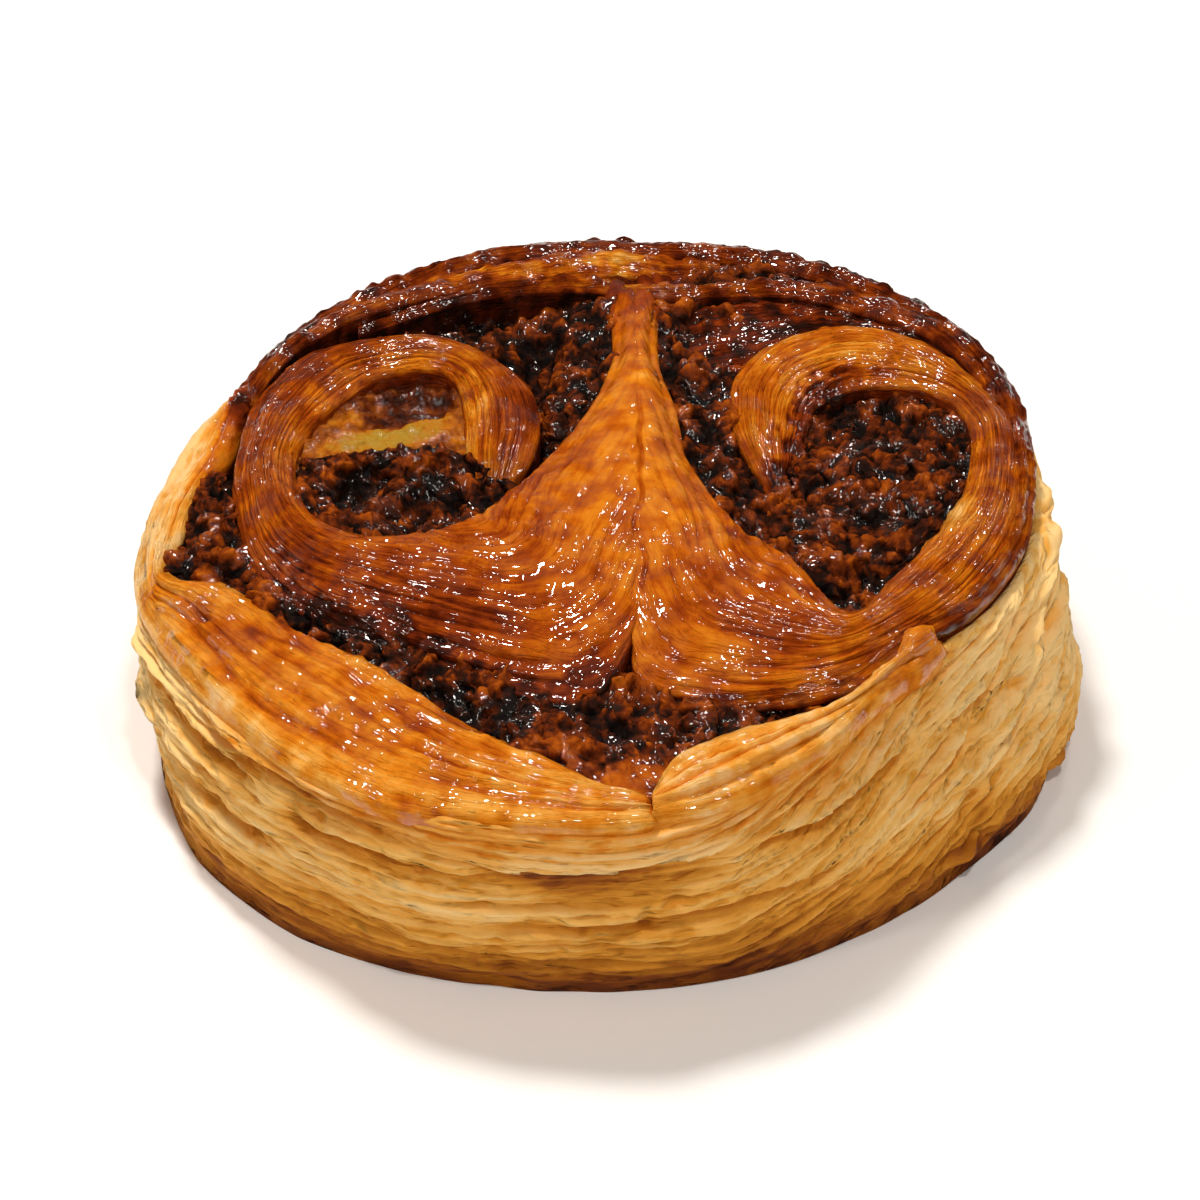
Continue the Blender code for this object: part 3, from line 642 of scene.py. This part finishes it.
def round_values(points, angles):
    """The radius, and any further columns, at each angle, from points (x, y, ...) round the axis."""
    points = np.array(points, float)
    at = np.arctan2(points[:, 1], points[:, 0])
    order = np.argsort(at)
    columns = [np.hypot(points[:, 0], points[:, 1]), *points[:, 2:].T]
    weights = np.hanning(2 * round(len(angles) / 300) + 3)[1:-1]
    reach = len(weights) // 2
    found = []
    for values in columns:
        raw = np.interp(angles, at[order], values[order], period=2 * math.pi)
        padded = np.concatenate([raw[-reach:], raw, raw[:reach]])
        found.append(np.convolve(padded, weights / weights.sum(), mode="valid"))
    return found


def rim_points():
    """Where the wall meets the folds and the lip: their outer edges (x, y, height)."""
    back = [station for station in LIP if station[3] > LIP_BACK]
    return [(x, y, high) for _, _, x, y, _, high, _ in FOLD_LEFT[1:-1] + FOLD_RIGHT[1:-3] + back] + RIM_RIGHT


def wall_profile(angles):
    """Knots (radius, height) of the wall's section at each angle, from the base's centre to the floor's."""
    rim, rim_z = round_values(rim_points(), angles)
    (foot,) = round_values(FOOT, angles)
    swell = 2.2 * bell(np.degrees(angles), -11, 13)
    zero = np.zeros_like(angles)
    return [
        (zero, zero),
        (foot * 0.5, zero),
        (foot - 2.4, zero),
        (foot - 0.3, zero + 1.0),
        (0.72 * foot + 0.28 * rim + 0.6 + swell, zero + 8.0),
        (0.4 * foot + 0.6 * rim + 0.5 + 0.4 * swell, zero + 17.0),
        (rim + 0.1, rim_z - 4.0),
        (rim - 0.4, rim_z - 1.5),
        (rim - 2.4, rim_z - 1.2),
        (rim - 6.0, zero + 20.0),
        (zero, zero + 19.0),
    ]


def wall():
    """The outer wrap's base and flaky wall, closed under the folds, scrolls and filling."""
    angles = np.linspace(-math.pi, math.pi, WALL_SECTIONS, endpoint=False)
    knots = np.array(wall_profile(angles))  # knot, (radius, height), angle
    base = np.linspace(0.4, 3, WALL_ROWS["base"], endpoint=False)
    side = np.linspace(3, 7, WALL_ROWS["wall"], endpoint=False)
    places = np.concatenate([base, side, np.linspace(7, 9.6, WALL_ROWS["top"])])
    flat = curve(knots.reshape(len(knots), -1), places).reshape(len(places), 2, -1)
    radius, height = flat[:, 0].T, flat[:, 1].T  # angle, row
    turn = angles[:, None].repeat(len(places), 1)
    points = np.stack([radius * np.cos(turn), radius * np.sin(turn), height], axis=-1)
    level = WALL_HEIGHT * height / knots[7, 1][:, None] + np.interp(np.degrees(turn), *LEAN)
    flow = np.stack([FLOW_RADIUS * np.cos(turn), FLOW_RADIUS * np.sin(turn), level], axis=-1)
    normals = normals_of(np.concatenate([points[-1:], points, points[:1]]))[1:-1]
    middle = WALL_ROWS["base"] + WALL_ROWS["wall"] // 2
    facing = (normals[:, middle, :2] * points[:, middle, :2]).sum()
    relief, tone = wall_relief(points, flow, places[None, :])
    points = points + normals * math.copysign(1, facing) * relief[..., None]
    points[..., 2] = np.maximum(points[..., 2], 0)
    return close_wall(points, flow, tone)


def wall_relief(points, flow, row):
    """Relief in mm and tone of the wall, at its rows' places along the profile's knots."""
    x, y, z = np.moveaxis(points, -1, 0)
    degrees = np.degrees(np.arctan2(y, x))
    relief, tone = flaky_sheets(flow, degrees, z)
    relief += 0.9 * noise(flow / (17, 17, 13), 9) + 0.16 * clouds(points / 2.2, 12, 2)
    slit, slit_tone, pocket = wall_slits(x, y, z, degrees, flow)
    soft, soft_tone = soft_wrinkles(flow, degrees, z)
    relief = relief * (1 - 0.85 * pocket) + slit + soft
    lumps = spot(degrees, z, -34, 1.0, 20, 4.2) * dome(cells(points / 3.6, 47)[0], 0.85)
    relief += 2.6 * lumps + 0.8 * spot(degrees, z, -34, 1.0, 20, 3.0) * clouds(points / 1.8, 48, 2)
    relief -= 0.8 * np.minimum(relief, 0) * step(5.2, 6.2, row) * step(0, 15, y)
    uneven_foot = (1 - step(0, 3.4, z)) * step(2.2, 3.0, row) * (0.7 * noise(flow / 5, 43) - 0.1)
    tone += slit_tone + soft_tone + wall_colour_and_shading(flow, degrees, z) + 0.2 * lumps
    return relief * between(3.0, 3.5, 6.9, 7.6, row) + uneven_foot, tone


def flaky_sheets(flow, degrees, z):
    """Relief and tone of baked sheets that stand out unevenly, with lens-shaped gaps between them. The tone
    is painted light and shade: darker in the gaps, paler on the sheets that stand out and on the edge just
    under each gap.
    """
    flaky = 0.55 + 0.45 * step(-0.4, 0.4, noise(flow / (22, 22, 9), 8)) - 0.35 * step(22.5, 24.5, z)
    flaky += 0.5 * bell(degrees, -38, 26)
    relief, tone = np.zeros_like(z), np.zeros_like(z)
    for pitch, depth, long, seed in SHEETS:
        above, gap, to_gap, under_gap = sheets(flow, pitch, long, seed)
        opening = flaky * gap * bell(to_gap, 0, (0.14 + 0.26 * gap) * pitch)
        lit = bell(to_gap, 0.35, 0.25) * under_gap
        relief += depth * (0.95 * above * step(0, 0.16, to_gap) - 1.15 * opening + 0.25 * lit)
        # painted shade in the gaps; painted light on the sheets that stand out and on the lit edges under the
        # gaps
        tone += depth * (0.13 * opening - 0.09 * above - 0.09 * lit)
    return relief, tone


def sheets(flow, pitch, long, seed):
    """How far each sheet stands out, how open the nearest gap is, how far it is, and whether it is above."""
    warp = 1.8 * noise(flow / (34, 34, 14), seed) + 0.3 * noise(flow / (13, 13, 5), seed + 1)
    level = (flow[..., 2] + warp) / pitch
    number = np.round(level)
    above = noise(sheet_points(flow, np.floor(level), long), seed + 2)
    gap = noise(sheet_points(flow, number, 0.5 * long), seed + 3)
    gap += 0.5 * noise(sheet_points(flow, number, 0.2 * long), seed + 4)
    return above, np.clip(1.25 * gap + 0.28, 0, 1.2), np.abs(level - number) * pitch, level < number


def sheet_points(flow, number, along):
    """Noise points that are unlike from one sheet to the next."""
    return np.stack([flow[..., 0] / along, flow[..., 1] / along, number * 5.37], axis=-1)


def soft_wrinkles(flow, degrees, z):
    """Relief and tone of the fine creases at the left and the upright wrinkles at the right. The tone is
    painted shade in the creases and grooves and painted light on the wrinkles.
    """
    left = bell(np.abs(degrees), 176, 16)
    crease = np.abs(noise(flow * (1, 1, 0.35) / 8.0, 31))
    # painted shade at the bottoms of the creases
    relief, tone = left * (1.3 * crease - 0.4), 0.1 * left * np.exp(-crease * 8)
    for middle, slope, wide, high in WRINKLES:
        bent = middle + slope * (z - 20) + 2.0 * noise(flow / 9, 33)
        wrinkle = bell(degrees, bent, wide) * step(7, 19, z)
        groove = bell(degrees, bent + 1.5 * wide, 0.45 * wide) * step(9, 20, z)
        relief += high * (wrinkle - 0.8 * groove)
        # painted shade in the groove beside each wrinkle, painted light on the wrinkle
        tone += 0.10 * groove - 0.05 * wrinkle
    return relief, tone


def wall_colour_and_shading(flow, degrees, z):
    """Tone: paler at the sides and darker low down, partly the crust's own colour and partly painted light
    and shade; toasted at the foot.
    """
    low = 1 - step(1.5, 13, z + 2.4 * noise(flow / (14, 14, 7), 40))
    toasted = 1 - step(0.0, 3.6, z + 1.6 * noise(flow / (8, 8, 4), 41))
    pale = 0.17 * bell(degrees, -14, 30) + 0.20 * bell(np.abs(degrees), 168, 34)
    under = 0.01 * step(22.6, 26.6, z)
    return 0.23 + 0.06 * noise(flow / (15, 15, 8), 21) + 0.31 * low + 0.2 * toasted + under - pale


def wall_slits(x, y, z, degrees, flow):
    """Where the layers part: the long lip and pocket at the front and the gaps of SLITS, with painted shade
    in the pocket and the gaps and a painted highlight on the lip.
    """
    jitter = 0.5 * noise(flow / (7, 7, 50), 61)
    below = 21.9 + 0.6 * np.cos(x / 8) + jitter - z
    reach = between(-17, -11, 9, 15, x) * (y < 0)
    depth = 0.75 + 0.25 * np.cos((x - 1) / 5)
    pocket = between(0, 0.3, 4.6 * depth, 9.0 * depth, below)
    lip = (below < 0) * bell(below, 0, 2.6)
    shade = spot(below, x, 2.6, -4.5, 3.0, 8.5)
    relief = reach * (1.2 * lip - 2.2 * depth * pocket * (1 - 0.1 * below))
    # painted shade in the pocket, deepest just under the lip, and a painted highlight on the lip
    tone = reach * (pocket * (0.12 + 0.42 * shade) - 0.16 * lip)
    round_from_right = np.where(degrees < 0, degrees + 360, degrees)
    for first, last, level, slope, deep in SLITS:
        middle = level + slope * (round_from_right - first) + 0.7 * jitter
        span = deep * between(first, first + 7, last - 7, last, round_from_right)
        gap = bell(z, middle, 0.5) + 0.5 * bell(z, middle - 0.7, 0.9)
        relief += span * (0.35 * bell(z, middle + 1.1, 0.6) - gap)
        # painted shade in the slit
        tone += 0.2 * span * gap
    return relief, tone, reach * pocket


def close_wall(points, flow, tone):
    """Closes the wall's grid round the axis, and at the centres of its base and its floor."""
    around, rows = points.shape[:2]
    near = np.arange(around * rows).reshape(around, rows)
    far = np.roll(near, -1, 0)
    quads = np.stack([near[:, :-1], near[:, 1:], far[:, 1:], far[:, :-1]], axis=-1).reshape(-1, 4)
    centre = around * rows
    faces = quads.tolist()
    faces += [[centre, far[i, 0], near[i, 0]] for i in range(around)]
    faces += [[centre + 1, near[i, -1], far[i, -1]] for i in range(around)]
    ends = np.array([[0, 0, 0], [0, 0, points[0, -1, 2]]])
    points = np.concatenate([points.reshape(-1, 3), ends])
    flow = np.concatenate([flow.reshape(-1, 3), np.zeros((2, 3))])
    tone = np.concatenate([tone.ravel(), [0.5, 0.5]])
    return make_object("dough_wall", points, faces, flow, tone)


# ---- filling

FILLINGS = [  # solid, piece, stations, sections, rows across, seed, its pool of syrup as a spot or None
    ("filling_front", "filling_front", FILLING_FRONT, 420, 44, 201, (2.5, -46, 7.5, 3.6)),
    ("filling_left_cleft", "filling_left_cleft", FILLING_LEFT_CLEFT, 190, 60, 211, None),
    ("filling_left_eye", "filling_left_eye", FILLING_LEFT_EYE, 150, 80, 221, None),
    ("filling_right", "filling_right_side", FILLING_RIGHT_SIDE, 230, 56, 231, None),
    ("filling_right", "filling_right_eye", FILLING_RIGHT_EYE, 140, 110, 241, None),
    ("filling_back", "filling_back", FILLING_BACK, 200, 40, 251, None),
]


def crumb_strip(name, stations, along, rows, seed, pool):
    """A strip of filling: lumps and grains stuck together. Tone runs from dark crumb to red syrup, and is
    darker in the hollows and cracks as painted shade.
    """
    strip = Ribbon(stations, along, rows, roll=0.6)
    near, value = cells(strip.points / 0.95, seed)
    small, grain = cells(strip.points / 0.52, seed + 1)
    hollows = clouds(strip.points / 4.4, seed + 2, 3)
    cracks = np.exp(-9 * np.abs(noise(strip.points / 2.6, seed + 6)))
    lumps = dome(near, 0.9) * (0.15 + value**2)
    grains = dome(small, 0.85) * (0.2 + 0.9 * grain)
    smooth = spot(strip.x, strip.y, *pool) if pool else 0.0
    relief = (0.55 * lumps + 0.22 * grains + 1.5 * hollows - 0.9 * cracks - 0.3) * (1 - 0.85 * smooth)
    strip.raise_by(relief - spots(strip, PITS))
    for axis in (0, 1):
        strip.points[..., axis] += 0.6 * clouds(strip.points / 2.0, seed + 3 + axis, 2) * strip.top
    # darker where hollows is low and in the cracks: painted shade in the low places
    tone = 0.09 + 0.36 * lumps * grain + 0.14 * grains + 0.46 * hollows - 0.2 * cracks + 0.54 * smooth
    return strip.mesh(name, tone)


def core_left():
    """The floor of the left eye: a soft yellow streak of dough, caramel above it that is darkened further by
    painted shade where it sinks under the ring, orange round the edge.
    """
    strip = Ribbon(CORE_LEFT, 130, 110, roll=0.8)
    x, y = strip.x, strip.y
    soft = clouds(strip.points / 2.4, 71, 3)
    near, value = cells(strip.points / 1.5, 72)
    grains = dome(cells(strip.points / 0.9, 73)[0], 0.8)
    fine = clouds(strip.points / 0.9, 74, 2)
    above = y - 12.2 - 0.34 * (x + 26.4)
    yellow = step(0.22, 0.85, spot(x, above, -26.4, 0, 8.4, 3.5) + 0.34 * soft)
    caramel_and_shade = step(0.8, 4.0, above + 2.0 * soft) * between(-33, -27, -20.5, -17.5, x)
    rough = (1 - yellow) * dome(near, 0.8) * value
    strip.raise_by(0.4 * soft + 0.8 * rough + 0.3 * grains + 0.12 * fine - 1.8 * caramel_and_shade - 0.2)
    # the back of the floor, sunk under the ring, is darker: partly the caramel's colour and partly painted
    # shade
    tone = 0.60 - 0.50 * yellow + 0.32 * caramel_and_shade + 0.3 * soft * (1 - yellow)
    return strip.mesh("core_left", tone - 0.14 * rough - 0.08 * grains + 0.08 * fine)


# ---- materials

# Each ramp's stops are a tone and its colour.
BAKED = [  # from pale crumb to burnt sugar
    (0.0, (0.86, 0.52, 0.20)), (0.14, (0.78, 0.34, 0.050)), (0.28, (0.66, 0.20, 0.008)),
    (0.42, (0.48, 0.102, 0.002)), (0.56, (0.29, 0.042, 0.001)), (0.72, (0.135, 0.015, 0.001)),
    (0.86, (0.045, 0.006, 0.001)), (1.0, (0.012, 0.003, 0.001)),
]
CRUST = [  # from cream through ochre to toasted brown
    (0.0, (0.94, 0.62, 0.25)), (0.14, (0.88, 0.47, 0.11)), (0.28, (0.74, 0.31, 0.032)),
    (0.42, (0.55, 0.20, 0.014)), (0.56, (0.38, 0.11, 0.007)), (0.72, (0.20, 0.045, 0.005)),
    (0.86, (0.08, 0.016, 0.003)), (1.0, (0.03, 0.008, 0.003)),
]
CRUMB = [  # from dark crumb to red syrup
    (0.0, (0.004, 0.002, 0.0015)), (0.18, (0.028, 0.006, 0.002)), (0.36, (0.122, 0.0185, 0.002)),
    (0.6, (0.29, 0.054, 0.0025)), (1.0, (0.47, 0.112, 0.0045)),
]
CORE = [  # from soft yellow dough to caramel
    (0.0, (0.36, 0.20, 0.020)), (0.16, (0.38, 0.17, 0.010)), (0.36, (0.42, 0.12, 0.004)),
    (0.55, (0.24, 0.055, 0.004)), (0.78, (0.09, 0.014, 0.002)), (1.0, (0.02, 0.005, 0.002)),
]


class Shader:
    """Short calls for building a material's nodes. Noise and cells are scaled per metre of their vector."""

    def __init__(self, name):
        self.material = bpy.data.materials.new(name)
        self.material.use_nodes = True
        self.tree = self.material.node_tree
        self.principled = self.tree.nodes["Principled BSDF"]
        self.place = self.node("ShaderNodeTexCoord").outputs["Object"]
        self.flow = self.attribute("flow", "Vector")
        self.tone = self.attribute("tone")

    def node(self, kind, **settings):
        made = self.tree.nodes.new(kind)
        for key, value in settings.items():
            setattr(made, key, value)
        return made

    def fill(self, socket, value):
        """Sets a socket to a number or colour, or links it to another socket."""
        if isinstance(value, (int, float, tuple)):
            socket.default_value = value
        else:
            self.tree.links.new(value, socket)

    def attribute(self, name, output="Fac"):
        return self.node("ShaderNodeAttribute", attribute_name=name).outputs[output]

    def part(self, vector, axis):
        made = self.node("ShaderNodeSeparateXYZ")
        self.fill(made.inputs[0], vector)
        return made.outputs[axis]

    def scaled(self, vector, scale):
        made = self.node("ShaderNodeMapping")
        self.fill(made.inputs["Vector"], vector)
        self.fill(made.inputs["Scale"], scale)
        return made.outputs[0]

    def noise(self, vector, scale, detail):
        made = self.node("ShaderNodeTexNoise")
        for name, value in (("Vector", vector), ("Scale", scale), ("Detail", detail), ("Roughness", 0.55)):
            self.fill(made.inputs[name], value)
        return made.outputs["Fac"]

    def drops(self, scale, patches):
        """Small domes, in patches."""
        cell = self.node("ShaderNodeTexVoronoi")
        self.fill(cell.inputs["Vector"], self.place)
        self.fill(cell.inputs["Scale"], scale)
        domes = self.remap(cell.outputs["Distance"], 0.0, 0.42, 1.0, 0.0)
        return self.times(domes, self.remap(self.noise(self.place, patches, 1), 0.42, 0.56))

    def lines(self, scale):
        """0 along thin lines that wander with the flow, 1 between them."""
        wave = self.math("SUBTRACT", self.noise(self.scaled(self.flow, scale), 1, 2), 0.5)
        return self.remap(self.math("ABSOLUTE", wave, 0), 0, 0.05)

    def math(self, operation, a, b):
        made = self.node("ShaderNodeMath", operation=operation)
        self.fill(made.inputs[0], a)
        self.fill(made.inputs[1], b)
        return made.outputs[0]

    def times(self, a, b):
        return self.math("MULTIPLY", a, b)

    def sum(self, first, *others):
        for other in others:
            first = self.math("ADD", first, other)
        return first

    def remap(self, value, low, high, to_low=0.0, to_high=1.0):
        made = self.node("ShaderNodeMapRange", interpolation_type="SMOOTHSTEP")
        self.fill(made.inputs["Value"], value)
        for name, number in zip(("From Min", "From Max", "To Min", "To Max"), (low, high, to_low, to_high)):
            self.fill(made.inputs[name], number)
        return made.outputs[0]

    def ramp(self, value, stops):
        made = self.node("ShaderNodeValToRGB")
        self.fill(made.inputs["Fac"], value)
        elements = made.color_ramp.elements
        while len(elements) < len(stops):
            elements.new(0.5)
        for element, (position, color) in zip(elements, stops):
            element.position = position
            element.color = (*color, 1.0)
        return made.outputs["Color"]

    def mix(self, share, first, second):
        """The first colour where share is 0 and the second where it is 1."""
        made = self.node("ShaderNodeMix", data_type="RGBA")
        for socket, value in zip((made.inputs[0], made.inputs[6], made.inputs[7]), (share, first, second)):
            self.fill(socket, value)
        return made.outputs[2]

    def bump(self, height, distance, under=None):
        """A normal that stands out by the distance in mm where height is 1, on top of the one under it."""
        made = self.node("ShaderNodeBump")
        self.fill(made.inputs["Distance"], distance * MM)
        self.fill(made.inputs["Height"], height)
        if under:
            self.fill(made.inputs["Normal"], under)
        return made.outputs[0]

    def finish(self, color, rough, specular, normal=None):
        """The finished material, of this colour, roughness, specular level and normal."""
        self.fill(self.principled.inputs["Base Color"], color)
        self.fill(self.principled.inputs["Roughness"], rough)
        self.fill(self.principled.inputs["Specular IOR Level"], specular)
        if normal:
            self.fill(self.principled.inputs["Normal"], normal)
        return self.material

    def coat(self, weight, ior, normal):
        """A thin smooth coat of sugar."""
        for name, value in (("Weight", weight), ("Roughness", 0.03), ("IOR", ior), ("Normal", normal)):
            self.fill(self.principled.inputs["Coat " + name], value)


def glazed_dough():
    """Browned dough seen through a smooth sugar glaze, which stands in gentle drops that catch the lights."""
    s = Shader("glazed_dough")
    fibrous = s.part(s.flow, "Y")
    fibres = s.noise(s.scaled(s.flow, (0.12, 0.12, 1.3)), 1, 4)
    creases, hairs = s.lines((0.16, 0.16, 0.9)), s.lines((0.22, 0.22, 2.0))
    mottle = s.noise(s.place, 300, 5)
    # the creases and hairs are darker along the grooves their bumps make: painted shade
    lined = s.sum(s.remap(fibres, 0.3, 0.7, -0.04, 0.04), s.remap(creases, 0.0, 1.0, 0.03, -0.005))
    lined = s.sum(lined, s.remap(hairs, 0.0, 1.0, 0.012, -0.003))
    tone = s.sum(s.tone, s.times(lined, fibrous), s.remap(mottle, 0.3, 0.7, -0.10, 0.10))
    ripple = s.bump(s.drops(780, 240), 0.14, under=s.bump(s.noise(s.place, 520, 1), 0.36))
    grooved = s.bump(s.times(creases, fibrous), 0.10, under=ripple)
    grooved = s.bump(s.times(hairs, fibrous), 0.05, under=grooved)
    covered = s.remap(s.noise(s.place, 200, 2), 0.42, 0.54)
    s.coat(s.times(covered, s.remap(s.tone, 0.10, 0.34, 0.4, 1.0)), 1.55, ripple)
    return s.finish(s.ramp(tone, BAKED), 0.6, 0.03, grooved)


def wall_dough():
    """The wall's dry, matt crust, as brown as the folds close under them."""
    s = Shader("wall_dough")
    fibres = s.noise(s.scaled(s.flow, (0.12, 0.12, 1.0)), 1, 4)
    flakes = s.noise(s.scaled(s.flow, (0.26, 0.26, 1.1)), 1, 2)
    mottle = s.noise(s.place, 300, 4)
    # the flakes' hollows, which the bump sinks, are darker: painted shade
    tone = s.sum(s.tone, s.remap(fibres, 0.3, 0.7, -0.045, 0.045), s.remap(flakes, 0.32, 0.46, 0.11, -0.03))
    tone = s.sum(tone, s.remap(mottle, 0.3, 0.7, -0.03, 0.03))
    browned = s.remap(s.part(s.place, "Z"), 0.0205, 0.0255)
    browned = s.times(browned, s.remap(s.part(s.place, "X"), 0.028, 0.042, 1.0, 0.0))
    normal = s.bump(fibres, 0.3, under=s.bump(s.remap(flakes, 0.32, 0.56), 0.3))
    normal = s.bump(mottle, 0.2, under=normal)
    return s.finish(s.mix(browned, s.ramp(tone, CRUST), s.ramp(tone, BAKED)), 0.6, 0.12, normal)


def crumb_filling():
    """Baked cinnamon sugar: near black grains, brown where thin, wet with syrup in places."""
    s = Shader("crumb_filling")
    tone = s.sum(s.tone, s.remap(s.noise(s.place, 520, 5), 0.38, 0.72, -0.06, 0.30))
    ripple = s.bump(s.drops(900, 300), 0.12, under=s.bump(s.noise(s.place, 640, 1), 0.34))
    grainy = s.bump(s.noise(s.place, 1500, 3), 0.22, under=ripple)
    s.coat(s.remap(s.noise(s.place, 330, 2), 0.51, 0.58), 1.5, ripple)
    return s.finish(s.ramp(tone, CRUMB), 0.7, 0.04, grainy)


def soft_core():
    """Soft underbaked dough with a syrupy skin."""
    s = Shader("soft_core")
    tone = s.sum(s.tone, s.remap(s.noise(s.place, 380, 4), 0.3, 0.7, -0.1, 0.1))
    normal = s.bump(s.noise(s.place, 1000, 4), 0.34)
    s.coat(s.remap(s.noise(s.place, 300, 2), 0.50, 0.58, 0.0, 0.8), 1.45, normal)
    return s.finish(s.ramp(tone, CORE), 0.4, 0.06, normal)


# ---- stage
# Places here are in metres.

CAMERA = (-0.0012, -0.33826, 0.29783)
CAMERA_TARGET = (-0.0012, -0.0012, 0.015)
LENS = 109.0  # in mm
LIGHT_TARGET = (0, 0, 0.02)
LIGHT_COLOR = (1.0, 0.95, 0.88)
LIGHTS = [  # name, place, width, watts
    ("key", (-0.18, 0.26, 0.82), 0.14, 5.6),
    ("above", (0.10, -0.30, 0.92), 0.09, 2.3),
    ("back", (0.22, 0.55, 0.70), 0.09, 0.9),
    ("front", (0.46, -0.80, 0.76), 0.14, 2.7),
    ("left", (-0.86, -0.46, 0.62), 0.14, 2.2),
]
SURROUND = 0.12  # the white surround's strength
PAPER = (0.93, 0.93, 0.93, 1.0)


def stand(name, data, location, target):
    """A camera or light at a place, looking at a point."""
    made = add_object(name, data)
    made.location = location
    made.rotation_euler = (Vector(target) - Vector(location)).to_track_quat("-Z", "Y").to_euler()
    return made


def make_camera():
    camera = bpy.data.cameras.new("camera")
    camera.lens, camera.sensor_width = LENS, 36.0
    bpy.context.scene.camera = stand("camera", camera, CAMERA, CAMERA_TARGET)


def make_floor():
    mesh = bpy.data.meshes.new("floor")
    mesh.from_pydata([(-3, -3, 0), (3, -3, 0), (3, 3, 0), (-3, 3, 0)], [], [(0, 1, 2, 3)])
    mesh.materials.append(Shader("paper").finish(PAPER, 0.9, 0.1))
    add_object("floor", mesh)


def make_lights():
    """Soft studio lights in a pale surround."""
    world = bpy.data.worlds.new("surround")
    world.use_nodes = True
    background = world.node_tree.nodes["Background"]
    background.inputs["Color"].default_value = (1.0, 1.0, 1.0, 1.0)
    background.inputs["Strength"].default_value = SURROUND
    bpy.context.scene.world = world
    for name, location, width, power in LIGHTS:
        light = bpy.data.lights.new(name, "AREA")
        light.shape, light.size, light.energy, light.color = "DISK", width, power, LIGHT_COLOR
        stand(name, light, location, LIGHT_TARGET)


# ---- assembly


def place(piece, material, slot, node):
    """Gives a piece its material and its body, and hides the imported solid it stands for. The slot is not
    used.
    """
    piece.data.materials.append(material)
    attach(piece, "root")
    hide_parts(node)


def main():
    bpy.context.scene.view_settings.view_transform = "Standard"
    make_camera()
    make_floor()
    make_lights()

    dough, outside, crumb, core = glazed_dough(), wall_dough(), crumb_filling(), soft_core()
    place(wall(), outside, "dough", "dough")
    place(fold_left(), dough, "dough", "dough")
    place(fold_right(), dough, "dough", "dough")
    for settings in SCROLLS:
        place(scroll(**settings), dough, "dough", "dough")
    for settings in SIDE_STRIPS:
        place(side_strip(*settings), dough, "dough", "dough")
    place(core_left(), core, "dough", "dough")
    for node, *settings in FILLINGS:
        place(crumb_strip(*settings), crumb, "filling", node)


main()
